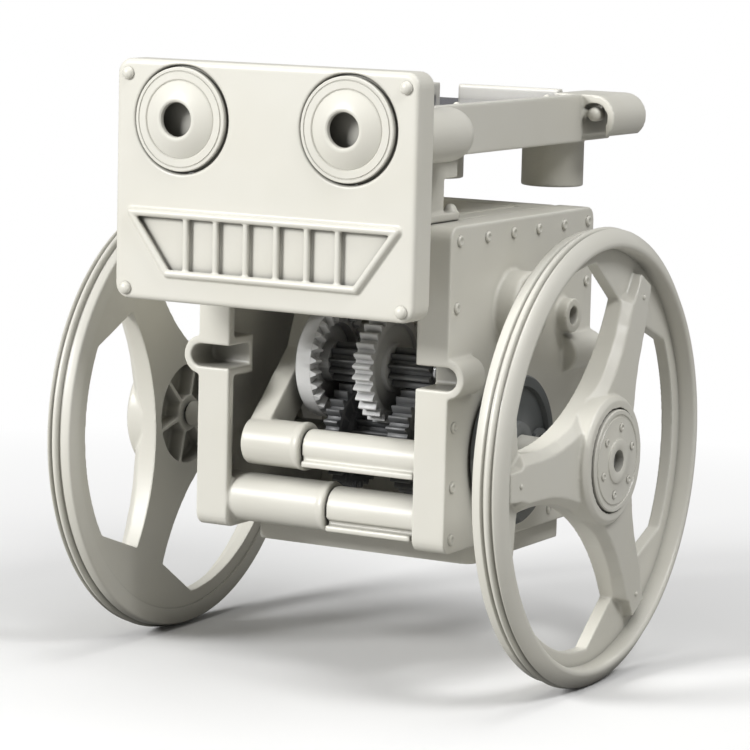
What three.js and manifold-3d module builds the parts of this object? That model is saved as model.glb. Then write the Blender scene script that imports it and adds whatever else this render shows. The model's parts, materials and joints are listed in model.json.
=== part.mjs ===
// Two-wheeled solar robot, one of the forms that a snap-together toy kit is built into.
// Units are millimetres. X runs across the robot, Y from its face (-Y) to its back (+Y), and Z is up.
// Sizes are drawn from the floor under the middle of the axle. The finished pieces are then moved along Y,
// so that the origin is the middle of the underside of the robot's box.
import * as THREE from "three";
import { mergeVertices } from "three/addons/utils/BufferGeometryUtils.js";
import Module from "manifold-3d";

const wasm = await Module();
wasm.setup();

// ---- Driving dimensions ----
const GAP = 0.1; // air left between pieces that are pressed, glued or screwed together
const PLAY = 0.3; // radial air round anything that turns or slides

const WHEEL = { radius: 41, inner: 40.6, outer: 46.6, web: 2.8, ringInner: 37.4, hub: 11.5, hubEnd: 48 };
const HUB_POCKET = { boss: 3.4, radius: 9.4, depth: 3.6, ribs: 6, rib: 0.8 };
const HUB_CAP = { radius: 9.1, seat: 9.4, collar: 4, bore: 2 };
const AXLE = { y: 0, z: WHEEL.radius, radius: 1.5, end: 47.6, sleeve: 2.3 };
const DISC = { radius: 13.5, from: 26.1, to: 29.3, rim: 11.4, hub: 5, recess: 0.9 };
const CRANK_HOLE = { radius: 1.7, offset: 8.6 };

const SHELL = { out: 25.6, in: 23.4, edge: 19.1, front: -21.4, back: 35, bottom: 24.5, top: 82.3 };
const RIM = { corner: 2.5, thickness: 2 };
const CLIP = { z: 55.7, slot: 2.05, wall: 1.45, centre: 25.2, length: 8.4, rear: 12, end: 1 };
const BOSS = { y: 2, z: 66.1, radius: 6.9, height: 4.2, bore: 3.4 };
const REAR_BOSS = { y: 22.8, z: 63, radius: 3.2, height: 2.4, bore: 1.7 };
const BEARING = 4; // radius of the boss round the axle

// Ties that hold the two shells together: a rod on the +X shell plugs into a sleeve on the -X shell.
const TIE = { sleeve: 4.6, rod: 3.9, pin: 2.4, bore: 2.7, join: 0.8, depth: 10, screw: 0.9 };
const TIES = {
  front_lower: [-16.5, 29.9],
  rear_lower: [29.8, 29.9],
  rear_upper: [29.8, 74.6],
  front_upper: [-16.3, 74.6],
};
const TIE_SCREW = { head: 2.2, height: 1.3, shank: 0.75, reach: 1.5, slot: 0.25 };
const MID_TIE = { y: -16.5, z: 40.3, rod: 3.3, sleeve: 4.4, join: -4.8, left: -16.8 };

// The bracket that carries the left end of the gear shaft. It is screwed to a stand on the -X shell at its lug.
const BRACKET = { from: -16.8, to: -12.6, lug: [1.5, 65.9], arm: 3.6, eye: 2.8, screw: 1.8 };

// Gear train. Every pinion has ten teeth and every large gear thirty, on two parallel shafts.
const MODULE = 0.65;
const PRESSURE = THREE.MathUtils.degToRad(25);
const TEETH = { pinion: 10, gear: 30, crown: 26, motor: 8 };
const CENTRES = (MODULE * (TEETH.pinion + TEETH.gear)) / 2;
const SHAFT = { y: -1.5, radius: 1, from: -16.2, to: 21.4 };
SHAFT.z = AXLE.z + Math.sqrt(CENTRES ** 2 - SHAFT.y ** 2);
const CROWN = { back: -11.1, root: -7.9, tooth: 1.2, inner: 8.1, outer: 10.3 };
const FIRST_PINION = [CROWN.root + GAP, -0.6];
const IDLER = { gear: [-5.9, -3.1], pinion: [-3.1, 5] };
const SECOND_GEAR = [0.9, 4.5];
const SECOND_PINION = [SECOND_GEAR[1] + GAP, 13];
const OUTPUT_GEAR = [7, 11];

const MOTOR = { z: SHAFT.z, radius: 10.4, flat: 8.2, front: 13.8, length: 16.5, nose: 3, shaft: 0.75, screws: 6.2 };
MOTOR.x = CROWN.root + 0.7 + (MODULE * TEETH.motor) / 2;
const MOTOR_CAP = { radius: 9.2, flat: 8, height: 1.8, bearing: 3.2, bearingEnd: 3 };
const MOTOR_TAB = { x: 5.4, halfWidth: 1, from: 1.9, to: 4.3, bottom: 3.2, top: 3.6 };
const BULKHEAD = { front: 11.6, back: 13.6, halfWidth: 18.8, bottom: 26.8, top: 79.2, nose: 3.4 };
const CABLE_HOLE = { x: 12, z: 70, radius: 2 };

const FACE = { halfWidth: 30, bottom: 67.7, top: 109.7, front: -42.5, back: -37.1, wall: 2.2, corner: 2.6 };
const EYE = { x: 16.6, z: 99.6, radius: 9.1, pupil: 2.95, proud: 2 };
const MOUTH = { top: 83.8, bottom: 72, topHalf: 27.6, bottomHalf: 19.3, ridge: 1.3, rise: 1 };
const MOUTH_BARS = { count: 6, pitch: 6.07, width: 1.2 };
const RIVET = { side: 2.4, top: 2.6, bottom: 1.9, pin: 0.7, hole: 0.8 };

const PANEL = { halfWidth: 22, front: -35.6, back: 50, top: 102.9, bottom: 94, wall: 1.9 };
const CELL = { top: 100.2, bottom: 95.4, air: 0.2 };
const PANEL_GAP = { from: 11, to: 15.8, floor: 95.2 };
const PANEL_CORNER = { length: 14, above: 100.5 };
const PANEL_TAB = { y: 27, halfLength: 9, reach: 5.6 };
const PANEL_LEG = { x: 12.9, y: 42.4, radius: 5.9, bottom: 85, bore: 3.4 };
const PANEL_CLIP = { x: 24.4, z: 98.6, outer: 4.3, slot: 2.4, length: 14.3, mouth: 2.8 };
const CLIP_KNOB = { y: 35.8, z: 99.4, radius: 1.4 };
const PEG = { x: 24.4, z: 98.3, radius: 2.4, to: -25, socket: 4.7, socketEnd: -22 };
const NECK = { inner: 14, outer: 20, front: -20, back: -14.1, step: 89.8, shoulder: -9.3, peg: 2 };
const WIRE = { y: -6.4, hole: 1.7, radius: 0.55, apart: 0.8 }; // where the leads run down from panel to body

/** How far the drawing's origin lies behind the middle of the robot's box. */
const MIDDLE_Y = (FACE.front - EYE.proud + PANEL.back) / 2;

// ---- Materials ----
const shellPlastic = new THREE.MeshStandardMaterial({ color: 0xe6e3d6, roughness: 0.38, metalness: 0 });
const gearWhite = new THREE.MeshStandardMaterial({ color: 0xf2f3f4, roughness: 0.35, metalness: 0 });
const gearDark = new THREE.MeshStandardMaterial({ color: 0x3d4042, roughness: 0.45, metalness: 0 });
const discGrey = new THREE.MeshStandardMaterial({ color: 0x5f6769, roughness: 0.45, metalness: 0 });
const steel = new THREE.MeshStandardMaterial({ color: 0xb8babd, roughness: 0.3, metalness: 1 });
const motorCan = new THREE.MeshStandardMaterial({ color: 0xa9abae, roughness: 0.35, metalness: 1 });
const brass = new THREE.MeshStandardMaterial({ color: 0xc79e54, roughness: 0.35, metalness: 1 });
const motorCap = new THREE.MeshStandardMaterial({ color: 0x24262a, roughness: 0.5, metalness: 0 });
const solarBlue = new THREE.MeshStandardMaterial({ color: 0x1d2260, roughness: 0.15, metalness: 0.1 });
const wireRed = new THREE.MeshStandardMaterial({ color: 0xa8201c, roughness: 0.45, metalness: 0 });
const wireBlack = new THREE.MeshStandardMaterial({ color: 0x191919, roughness: 0.45, metalness: 0 });

// ---- Solid helpers ----
const robot = new THREE.Group();

/** A closed three.js geometry as a manifold solid. */
function solid(geometry) {
  const bare = geometry.index ? geometry.toNonIndexed() : geometry.clone();
  bare.deleteAttribute("normal");
  bare.deleteAttribute("uv");
  const merged = mergeVertices(bare, 1e-4);
  const triVerts = new Uint32Array(merged.index.array);
  return new wasm.Manifold(
    new wasm.Mesh({ numProp: 3, vertProperties: merged.attributes.position.array, triVerts }),
  );
}

/** Adds a solid to the robot as one named mesh. */
function piece(name, made, material) {
  const { vertProperties, triVerts } = made.translate([0, -MIDDLE_Y, 0]).getMesh();
  const geometry = new THREE.BufferGeometry();
  geometry.setAttribute("position", new THREE.BufferAttribute(vertProperties, 3));
  geometry.setIndex(new THREE.BufferAttribute(triVerts, 1));
  geometry.computeVertexNormals();
  const mesh = new THREE.Mesh(geometry, material);
  mesh.name = name;
  robot.add(mesh);
}

const join = (first, ...rest) => rest.reduce((made, next) => made.add(next), first);
const cut = (first, ...tools) => tools.reduce((made, tool) => made.subtract(tool), first);

/** A box from its low and high limit on each axis. */
function box([x0, x1], [y0, y1], [z0, z1]) {
  const geometry = new THREE.BoxGeometry(x1 - x0, y1 - y0, z1 - z0);
  return solid(geometry.translate((x0 + x1) / 2, (y0 + y1) / 2, (z0 + z1) / 2));
}

/** A round bar along an axis. The centre is its two other coordinates, in X, Y, Z order. */
function bar(axis, radius, [from, to], [u, v], segments = 24, endRadius = radius) {
  const geometry = new THREE.CylinderGeometry(endRadius, radius, to - from, segments);
  const middle = (from + to) / 2;
  if (axis === "x") geometry.rotateZ(-Math.PI / 2).translate(middle, u, v);
  if (axis === "y") geometry.translate(u, middle, v);
  if (axis === "z") geometry.rotateX(Math.PI / 2).translate(u, v, middle);
  return solid(geometry);
}

const ACROSS = new THREE.Matrix4().makeBasis(
  new THREE.Vector3(0, 1, 0),
  new THREE.Vector3(0, 0, 1),
  new THREE.Vector3(1, 0, 0),
);
const FORWARD = new THREE.Matrix4().makeBasis(
  new THREE.Vector3(1, 0, 0),
  new THREE.Vector3(0, 0, 1),
  new THREE.Vector3(0, -1, 0),
);

/** A shape drawn in (y, z) and given thickness from x0 to x1. */
function acrossPlate(shape, [x0, x1], curveSegments = 8) {
  const geometry = new THREE.ExtrudeGeometry(shape, { depth: x1 - x0, bevelEnabled: false, curveSegments });
  return solid(geometry.applyMatrix4(ACROSS).translate(x0, 0, 0));
}

/** A shape drawn in (x, z) and given thickness from y0 to y1. */
function frontPlate(shape, [y0, y1], curveSegments = 8) {
  const geometry = new THREE.ExtrudeGeometry(shape, { depth: y1 - y0, bevelEnabled: false, curveSegments });
  return solid(geometry.applyMatrix4(FORWARD).translate(0, y1, 0));
}

/** A shape drawn in (x, y) and given thickness from z0 to z1. */
function floorPlate(shape, [z0, z1], curveSegments = 8) {
  const geometry = new THREE.ExtrudeGeometry(shape, { depth: z1 - z0, bevelEnabled: false, curveSegments });
  return solid(geometry.translate(0, 0, z0));
}

function roundedRect(u0, v0, u1, v1, r) {
  const shape = new THREE.Shape();
  shape.moveTo(u0 + r, v0);
  shape.lineTo(u1 - r, v0);
  shape.absarc(u1 - r, v0 + r, r, -Math.PI / 2, 0);
  shape.lineTo(u1, v1 - r);
  shape.absarc(u1 - r, v1 - r, r, 0, Math.PI / 2);
  shape.lineTo(u0 + r, v1);
  shape.absarc(u0 + r, v1 - r, r, Math.PI / 2, Math.PI);
  shape.lineTo(u0, v0 + r);
  shape.absarc(u0 + r, v0 + r, r, Math.PI, 1.5 * Math.PI);
  return shape;
}

function polygon(points) {
  return new THREE.Shape(points.map(([u, v]) => new THREE.Vector2(u, v)));
}

/** A profile of [x, radius] points turned about the X axis through (y, z). It starts and ends on the axis. */
function turnedAcross(profile, [y, z], segments) {
  const points = profile.map(([x, r]) => new THREE.Vector2(r, x));
  const geometry = new THREE.LatheGeometry(points, segments);
  return solid(geometry.rotateZ(-Math.PI / 2).translate(0, y, z));
}

/** A profile of [y, radius] points turned about the Y axis through (x, z), running from back to front. */
function turnedForward(profile, [x, z], segments) {
  const points = profile.map(([y, r]) => new THREE.Vector2(r, y));
  return solid(new THREE.LatheGeometry(points, segments).translate(x, 0, z));
}

/** The same solid on the other side of the robot. */
const mirrored = (made) => made.mirror([1, 0, 0]);

// ---- Gears ----

/** Half the angle that an involute tooth covers at a radius, less a little for backlash. */
function halfTooth(teeth, radius) {
  const pitch = (MODULE * teeth) / 2;
  const base = pitch * Math.cos(PRESSURE);
  const angle = Math.acos(Math.min(1, base / Math.max(radius, base)));
  const involute = (a) => Math.tan(a) - a;
  const backlash = 0.07 / pitch;
  return Math.PI / (2 * teeth) + involute(PRESSURE) - involute(angle) - backlash;
}

/** A stub-toothed spur gear outline with one tooth centred on the given angle. */
function gearOutline(teeth, phase) {
  const pitch = (MODULE * teeth) / 2;
  const root = pitch - 1.05 * MODULE;
  const tip = pitch + 0.8 * MODULE;
  const flank = teeth < 20 ? [root, pitch + 0.1 * MODULE, tip] : [root, tip];
  const points = [];
  for (let tooth = 0; tooth < teeth; tooth++) {
    const middle = phase + (2 * Math.PI * tooth) / teeth;
    for (const radius of flank) points.push([radius, middle - halfTooth(teeth, radius)]);
    for (const radius of [...flank].reverse()) points.push([radius, middle + halfTooth(teeth, radius)]);
  }
  return polygon(points.map(([r, a]) => [r * Math.cos(a), r * Math.sin(a)]));
}

/** A spur gear turning about the X axis through (y, z). */
function spur(teeth, span, [y, z], phase) {
  return acrossPlate(gearOutline(teeth, phase), span).translate([0, y, z]);
}

const shaftAt = [SHAFT.y, SHAFT.z];
const axleAt = [AXLE.y, AXLE.z];
const toAxle = Math.atan2(AXLE.z - SHAFT.z, AXLE.y - SHAFT.y);
const toShaft = toAxle + Math.PI;
const halfPitch = Math.PI / TEETH.gear;

/** A shallow groove in each face of a gear, between its hub and its rim. */
function facesGrooved(made, [x0, x1], at, hub, rim, depth) {
  const groove = (from, to) => cut(bar("x", rim, [from, to], at, 18), bar("x", hub, [from - 1, to + 1], at, 10));
  return cut(made, groove(x0 - 1, x0 + depth), groove(x1 - depth, x1 + 1));
}

function crownGear() {
  let made = join(
    bar("x", CROWN.outer, [CROWN.back, CROWN.root], shaftAt, 28),
    bar("x", 3, [CROWN.back - 1.1, CROWN.back], shaftAt, 20),
  );
  const dish = bar("x", CROWN.inner - 1, [CROWN.back + 1.4, 0], shaftAt, 24);
  made = cut(made, cut(dish, bar("x", 3.6, [-20, 0], shaftAt, 14)));
  const half = { root: 0.72, tip: 0.16 };
  const profile = polygon([
    [CROWN.root - GAP, -half.root],
    [CROWN.root + CROWN.tooth, -half.tip],
    [CROWN.root + CROWN.tooth, half.tip],
    [CROWN.root - GAP, half.root],
  ]);
  for (let tooth = 0; tooth < TEETH.crown; tooth++) {
    const angle = (2 * Math.PI * (tooth + 0.5)) / TEETH.crown;
    const depth = CROWN.outer - CROWN.inner - 0.05;
    const geometry = new THREE.ExtrudeGeometry(profile, { depth, bevelEnabled: false });
    geometry.rotateX(-Math.PI / 2).translate(0, CROWN.inner, 0).rotateX(angle).translate(0, ...shaftAt);
    made = made.add(solid(geometry));
  }
  return cut(made, bar("x", SHAFT.radius + PLAY, [-20, 0], shaftAt, 20));
}

function gearTrain() {
  const bore = (radius) => (at) => bar("x", radius, [-30, 30], at, 14);
  const shaftBore = bore(SHAFT.radius + PLAY)(shaftAt);
  const idlerBore = bore(AXLE.radius + PLAY)(axleAt);
  const axleBore = bore(AXLE.radius + GAP)(axleAt);

  piece("crown_gear", crownGear(), gearWhite);
  piece("crown_pinion", cut(spur(TEETH.pinion, FIRST_PINION, shaftAt, toAxle), shaftBore), gearDark);

  const idlerWheel = spur(TEETH.gear, IDLER.gear, axleAt, toShaft + halfPitch);
  const idler = join(
    facesGrooved(idlerWheel, IDLER.gear, axleAt, 4.6, 8, 0.6),
    spur(TEETH.pinion, [IDLER.gear[0] + 1, IDLER.pinion[1]], axleAt, toShaft),
  );
  piece("idler_gear", cut(idler, idlerBore), gearDark);

  const secondWheel = spur(TEETH.gear, SECOND_GEAR, shaftAt, toAxle + halfPitch);
  const second = facesGrooved(secondWheel, SECOND_GEAR, shaftAt, 4.4, 8, 0.8);
  piece("second_gear", cut(second, shaftBore), gearWhite);
  piece("second_pinion", cut(spur(TEETH.pinion, SECOND_PINION, shaftAt, toAxle), shaftBore), gearDark);

  const outputWheel = spur(TEETH.gear, OUTPUT_GEAR, axleAt, toShaft + halfPitch);
  const output = facesGrooved(outputWheel, OUTPUT_GEAR, axleAt, 4.4, 8, 0.9);
  const outputHub = bar("x", 3.4, [OUTPUT_GEAR[1], OUTPUT_GEAR[1] + 3], axleAt, 20);
  piece("output_gear", cut(join(output, outputHub), axleBore), gearDark);

  piece("gear_shaft", bar("x", SHAFT.radius, [SHAFT.from, SHAFT.to], shaftAt, 16), steel);
  const washer = (x, at, hole) => cut(bar("x", 2.6, [x, x + 0.7], at, 16), bar("x", hole, [x - 1, x + 2], at, 12));
  piece("shaft_washer", washer(SECOND_PINION[1] + 0.2, shaftAt, SHAFT.radius + PLAY), steel);
  piece("idler_washer", washer(IDLER.pinion[1] + 0.4, axleAt, AXLE.radius + PLAY), steel);
}

// ---- Body shells ----

/** One rod of the +X shell: a thick part, and a thin pin with a hole for its screw. */
function tieRod(at) {
  const rod = join(
    bar("x", TIE.rod, [TIE.join + GAP * 3, SHELL.in + GAP], at, 20),
    bar("x", TIE.pin, [TIE.join - TIE.depth, TIE.join + 1], at, 14),
  );
  return cut(rod, bar("x", TIE.screw, [TIE.join - TIE.depth - 1, TIE.join + 2], at, 10));
}

/** The flat lip along the lower front of a rod. */
function rodLip([y, z], radius, from) {
  return box([from, SHELL.edge - 0.6], [y - radius - 0.5, y], [z - radius + 0.2, z - radius + 1.5]);
}

/** The tray that both shells are made from, on the +X side: a plate with a rim turned inwards. */
function tray() {
  const { out, edge, front, back, bottom, top } = SHELL;
  const { corner, thickness } = RIM;
  const outside = acrossPlate(roundedRect(front, bottom, back, top, corner), [edge, out], 3);
  const low = [front + thickness, bottom + thickness];
  const high = [back - thickness, top - thickness];
  const pocket = roundedRect(...low, ...high, corner - thickness * 0.6);
  return cut(outside, acrossPlate(pocket, [edge - 1, SHELL.in], 2));
}

/** The outside of a U-shaped clip that runs from y0 to y1 through the rim. */
function clipBody([y0, y1]) {
  const half = CLIP.slot + CLIP.wall;
  return join(
    bar("y", half, [y0, y1], [CLIP.centre, CLIP.z], 20),
    box([SHELL.edge, CLIP.centre], [y0, y1], [CLIP.z - half, CLIP.z + half]),
  );
}

/** The slot inside such a clip, from y0 to y1. */
function clipSlot([y0, y1]) {
  return join(
    bar("y", CLIP.slot, [y0, y1], [CLIP.centre, CLIP.z], 16),
    box([SHELL.edge - 1, CLIP.centre], [y0, y1], [CLIP.z - CLIP.slot, CLIP.z + CLIP.slot]),
  );
}

/** Everything the two shells share: tray, clips, bosses and the bearing of the axle. */
function plainShell() {
  const { front, back } = SHELL;
  const clips = [
    [front, front + CLIP.length],
    [back - CLIP.rear, back],
  ];
  const slots = [
    [front - 1, front + CLIP.length - CLIP.end],
    [back - CLIP.rear + CLIP.end, back + 1],
  ];
  const boss = bar("x", BOSS.radius, [SHELL.in, SHELL.out + BOSS.height], [BOSS.y, BOSS.z], 24);
  const rearAt = [REAR_BOSS.y, REAR_BOSS.z];
  const rearBoss = bar("x", REAR_BOSS.radius, [SHELL.in, SHELL.out + REAR_BOSS.height], rearAt, 16);
  const bearing = bar("x", BEARING, [SHELL.edge - 1, SHELL.in + GAP], axleAt, 16);
  const made = join(tray(), ...clips.map(clipBody), boss, rearBoss, bearing);
  return cut(
    made,
    ...slots.map(clipSlot),
    bar("x", BOSS.bore, [SHELL.out - 0.6, SHELL.out + BOSS.height + 1], [BOSS.y, BOSS.z], 18),
    bar("x", REAR_BOSS.bore, [SHELL.edge, SHELL.out + 5], rearAt, 12),
    bar("x", AXLE.radius + PLAY, [0, 40], axleAt, 14),
  );
}

function shells() {
  const rightShaftBoss = cut(
    bar("x", 3.2, [18.4, SHELL.in + GAP], shaftAt, 20),
    bar("x", SHAFT.radius + GAP, [10, SHAFT.to + PLAY], shaftAt, 16),
  );
  const mid = [MID_TIE.y, MID_TIE.z];
  const midRod = join(
    bar("x", MID_TIE.rod, [MID_TIE.join + GAP * 3, SHELL.in + GAP], mid, 20),
    bar("x", TIE.pin, [MID_TIE.left + 1.5, MID_TIE.join + 1], mid, 14),
  );
  const right = join(
    plainShell(),
    ...Object.values(TIES).map(tieRod),
    rodLip(TIES.front_lower, TIE.rod, TIE.join + 0.5),
    rodLip(mid, MID_TIE.rod, MID_TIE.join + 0.5),
    midRod,
    rightShaftBoss,
  );
  piece("right_shell", right, shellPlastic);

  const sleeves = Object.values(TIES).map((at) => bar("x", TIE.sleeve, [-SHELL.in - GAP, TIE.join], at, 20));
  const bores = Object.values(TIES).map((at) =>
    join(
      bar("x", TIE.bore, [TIE.join - TIE.depth - PLAY, TIE.join + 1], at, 14),
      bar("x", TIE.screw + PLAY, [-30, TIE.join], at, 10),
      bar("x", 2.4, [-30, -SHELL.out + 1.3], at, 14),
    ),
  );
  const stand = bar("x", 2.6, [-SHELL.in - GAP, BRACKET.from - GAP], BRACKET.lug, 20);
  const standHole = bar("x", 0.8, [-22, BRACKET.from], BRACKET.lug, 12);
  piece("left_shell", cut(join(mirrored(plainShell()), ...sleeves, stand), ...bores, standHole), shellPlastic);

  for (const [name, at] of Object.entries(TIES)) piece(`${name}_screw`, tieScrew(at), steel);
}

/** A cross-headed screw whose head is let into the -X shell. */
function tieScrew([y, z]) {
  const { head, height, shank, reach, slot } = TIE_SCREW;
  const top = -SHELL.out - 0.1;
  const depth = [top - 1, top + 0.6];
  return cut(
    join(bar("x", head, [top, top + height], [y, z], 14), bar("x", shank, [top + 1, TIE.join - 2], [y, z], 8)),
    box(depth, [y - reach, y + reach], [z - slot, z + slot]),
    box(depth, [y - slot, y + slot], [z - reach, z + reach]),
  );
}

function gearBracket() {
  const mid = [MID_TIE.y, MID_TIE.z];
  const arm = new THREE.Shape();
  arm.moveTo(MID_TIE.y - 2.2, MID_TIE.z + 3);
  arm.lineTo(MID_TIE.y + 4.2, MID_TIE.z);
  arm.absarc(SHAFT.y, SHAFT.z, BRACKET.arm, -0.4, 0.9);
  arm.absarc(...BRACKET.lug, BRACKET.eye, 0, Math.PI);
  arm.lineTo(SHAFT.y - BRACKET.arm, SHAFT.z + 2.4);
  const made = join(
    acrossPlate(arm, [BRACKET.from, BRACKET.to], 6),
    bar("x", MID_TIE.sleeve, [MID_TIE.left, MID_TIE.join], mid, 22),
  );
  piece(
    "gear_bracket",
    cut(
      made,
      bar("x", TIE.bore, [MID_TIE.left + 1, MID_TIE.join + 1], mid, 14),
      bar("x", SHAFT.radius + GAP, [-20, 0], shaftAt, 16),
      bar("x", 0.95, [-20, 0], BRACKET.lug, 12),
    ),
    shellPlastic,
  );
  const screw = join(
    bar("x", BRACKET.screw, [BRACKET.to + GAP, BRACKET.to + 1.3], BRACKET.lug, 16),
    bar("x", 0.7, [-20, BRACKET.to + 1], BRACKET.lug, 10),
  );
  piece("bracket_screw", screw, steel);
}

// ---- Covers ----

function covers() {
  const inside = SHELL.edge - PLAY;
  const top = floorPlate(roundedRect(-inside, -19.6, inside, 33, 1.2), [SHELL.top - 1.8, SHELL.top - 0.1], 4);
  const ribs = [TIES.front_upper, TIES.rear_upper].map(([y, z]) =>
    box([-inside + 2, inside - 2], [y - 1, y + 1], [z + TIE.sleeve + GAP, SHELL.top - 1]),
  );
  const wireHole = bar("z", WIRE.hole, [SHELL.top - 3, SHELL.top + 1], [0, WIRE.y], 14);
  piece("top_cover", cut(join(top, ...ribs), wireHole), shellPlastic);

  const slab = join(
    floorPlate(roundedRect(-22.6, -5, 22.6, 31, 2), [20, SHELL.bottom - GAP], 4),
    box([-18.5, 18.5], [-3.6, 24.6], [SHELL.bottom - 1, SHELL.bottom + 1.4]),
  );
  const tray = floorPlate(roundedRect(-16.5, -1.6, 16.5, 22.6, 1), [SHELL.bottom - 2.6, SHELL.bottom + 3], 3);
  piece("bottom_cover", cut(slab, tray), shellPlastic);
}

// ---- Motor ----

function bulkhead(screws) {
  const { front, back, halfWidth, bottom, top, nose } = BULKHEAD;
  const through = [front - 1, back + 1];
  return cut(
    box([-halfWidth, halfWidth], [front, back], [bottom, top]),
    bar("y", nose, through, [MOTOR.x, MOTOR.z], 18),
    bar("y", CABLE_HOLE.radius, through, [CABLE_HOLE.x, CABLE_HOLE.z], 16),
    ...screws.map((at) => bar("y", 0.95, through, at, 12)),
  );
}

/** The motor's can: round, with a flat above and below and a nose at the front. */
function motorBody(screws) {
  const { x, z, radius, flat, front, length, nose, shaft } = MOTOR;
  const back = front + length;
  const round = turnedForward(
    [
      [front - 1.6, 0],
      [front - 1.6, nose],
      [front, nose],
      [front, radius - 0.8],
      [front + 0.8, radius],
      [back - 0.1, radius],
      [back - 0.1, 0],
    ],
    [x, z],
    28,
  );
  return cut(
    round,
    box([x - 20, x + 20], [front + 1.5, back + 1], [z - 20, z - flat]),
    box([x - 20, x + 20], [front + 1.5, back + 1], [z + flat, z + 20]),
    ...screws.map((at) => bar("y", 0.7, [front - 1, front + 4.2], at, 12)),
    bar("y", shaft + GAP, [front - 3, front + 8], [x, z], 12),
  );
}

function motorEnd(back) {
  const { x, z } = MOTOR;
  const { radius, flat, height, bearing, bearingEnd } = MOTOR_CAP;
  return cut(
    join(
      bar("y", radius, [back, back + height], [x, z], 24),
      bar("y", bearing, [back + height - 0.3, back + bearingEnd], [x, z], 20),
    ),
    box([x - 20, x + 20], [back - 1, back + 4], [z + flat, z + 20]),
    box([x - 20, x + 20], [back - 1, back + 4], [z - 20, z - flat]),
  );
}

function motor() {
  const { x, z, front, length, shaft } = MOTOR;
  const back = front + length;
  const screws = [-1, 1].map((side) => [x + side * MOTOR.screws, z]);
  piece("bulkhead", bulkhead(screws), shellPlastic);
  piece("motor_can", motorBody(screws), motorCan);
  piece("motor_end_cap", motorEnd(back), motorCap);
  ["left", "right"].forEach((name, index) => {
    const middle = x + (index ? 1 : -1) * MOTOR_TAB.x;
    const across = [middle - MOTOR_TAB.halfWidth, middle + MOTOR_TAB.halfWidth];
    const along = [back + MOTOR_TAB.from, back + MOTOR_TAB.to];
    piece(`motor_tab_${name}`, box(across, along, [z + MOTOR_TAB.bottom, z + MOTOR_TAB.top]), brass);
    const screw = join(
      bar("y", 1.7, [BULKHEAD.front - 1.1, BULKHEAD.front - GAP], screws[index], 16),
      bar("y", 0.6, [BULKHEAD.front - 0.5, front + 3.6], screws[index], 10),
    );
    piece(`motor_screw_${name}`, screw, steel);
  });
  const pinionSpan = [SHAFT.y + 8.2, SHAFT.y + 11.4];
  piece("motor_shaft", bar("y", shaft, [pinionSpan[0] + 0.1, front + 7], [x, z], 12), steel);
  const pinion = frontPlate(gearOutline(TEETH.motor, Math.PI), pinionSpan).translate([x, 0, z]);
  piece("motor_pinion", cut(pinion, bar("y", shaft + 0.05, [0, 20], [x, z], 12)), gearWhite);
}

// ---- Axle, drive discs and wheels ----

/** A wheel's rim, web and hub, without its openings. */
function wheelDisc() {
  const { radius, inner, outer, web, ringInner, hub, hubEnd } = WHEEL;
  return turnedAcross(
    [
      [inner, 0],
      [inner, radius - 0.9],
      [inner + 0.8, radius],
      [outer - 0.8, radius],
      [outer, radius - 0.9],
      [outer, ringInner],
      [inner + web, ringInner - 0.4],
      [inner + web, hub + 0.6],
      [hubEnd - 0.8, hub],
      [hubEnd, hub - 0.8],
      [hubEnd, HUB_CAP.seat],
      [hubEnd - 0.9, HUB_CAP.seat],
      [hubEnd - 0.9, 0],
    ],
    axleAt,
    40,
  );
}

/** A wide opening between two spokes: an arc under the rim and a bowl round the hub. */
function wheelOpening(angle) {
  const bowl = { centre: 49.8, radius: 38.3, sweep: 0.617 };
  const shape = new THREE.Shape();
  shape.absarc(0, 0, 34.6, -0.53, 0.53);
  shape.absarc(bowl.centre, 0, bowl.radius, Math.PI - bowl.sweep, Math.PI + bowl.sweep);
  const plate = acrossPlate(shape, [WHEEL.inner - 1, WHEEL.hubEnd + 1], 7);
  return plate.rotate([angle, 0, 0]).translate([0, ...axleAt]);
}

/** The rib along a spoke: wide and high at the hub, narrow and low at the rim. */
function spokeRib(angle) {
  const { inner, outer, ringInner, hub, hubEnd } = WHEEL;
  const tip = ringInner - 0.6;
  const section = polygon([
    [hub - 2, -6],
    [hub + 6, -3.6],
    [tip, -2.2],
    [tip, 2.2],
    [hub + 6, 3.6],
    [hub - 2, 6],
  ]);
  const slope = polygon([
    [inner + 1, hub - 2],
    [hubEnd - 1.6, hub - 2],
    [outer - 1.4, tip],
    [inner + 1, tip],
  ]);
  const side = new THREE.ExtrudeGeometry(slope, { depth: 16, bevelEnabled: false });
  const rib = acrossPlate(section, [inner + 0.5, hubEnd]).intersect(solid(side.translate(0, 0, -8)));
  return rib.rotate([angle, 0, 0]).translate([0, ...axleAt]);
}

/** The hollow in a wheel's hub on its inner side, crossed by thin ribs. */
function hubPocket() {
  const { boss, radius, depth, ribs, rib } = HUB_POCKET;
  const span = [WHEEL.inner - 1, WHEEL.inner + depth];
  let made = cut(bar("x", radius, span, axleAt, 24), bar("x", boss, [span[0] - 1, span[1] + 1], axleAt, 20));
  for (let n = 0; n < ribs / 2; n++) {
    const wall = box([WHEEL.inner + 0.6, WHEEL.inner + depth + 1], [-radius - 1, radius + 1], [-rib / 2, rib / 2]);
    made = made.subtract(wall.rotate([(360 * n) / ribs + 15, 0, 0]).translate([0, ...axleAt]));
  }
  return made;
}

/** One wheel on the +X side. The spokes stand between three wide openings. */
function wheel(spokeAngle) {
  const turns = [0, 120, 240].map((turn) => turn + THREE.MathUtils.radToDeg(spokeAngle));
  return cut(
    join(wheelDisc(), ...turns.map(spokeRib)),
    ...turns.map((angle) => wheelOpening(angle + 60)),
    hubPocket(),
    bar("x", AXLE.radius + GAP, [WHEEL.inner - 1, WHEEL.hubEnd + 1], axleAt, 20),
  );
}

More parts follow.
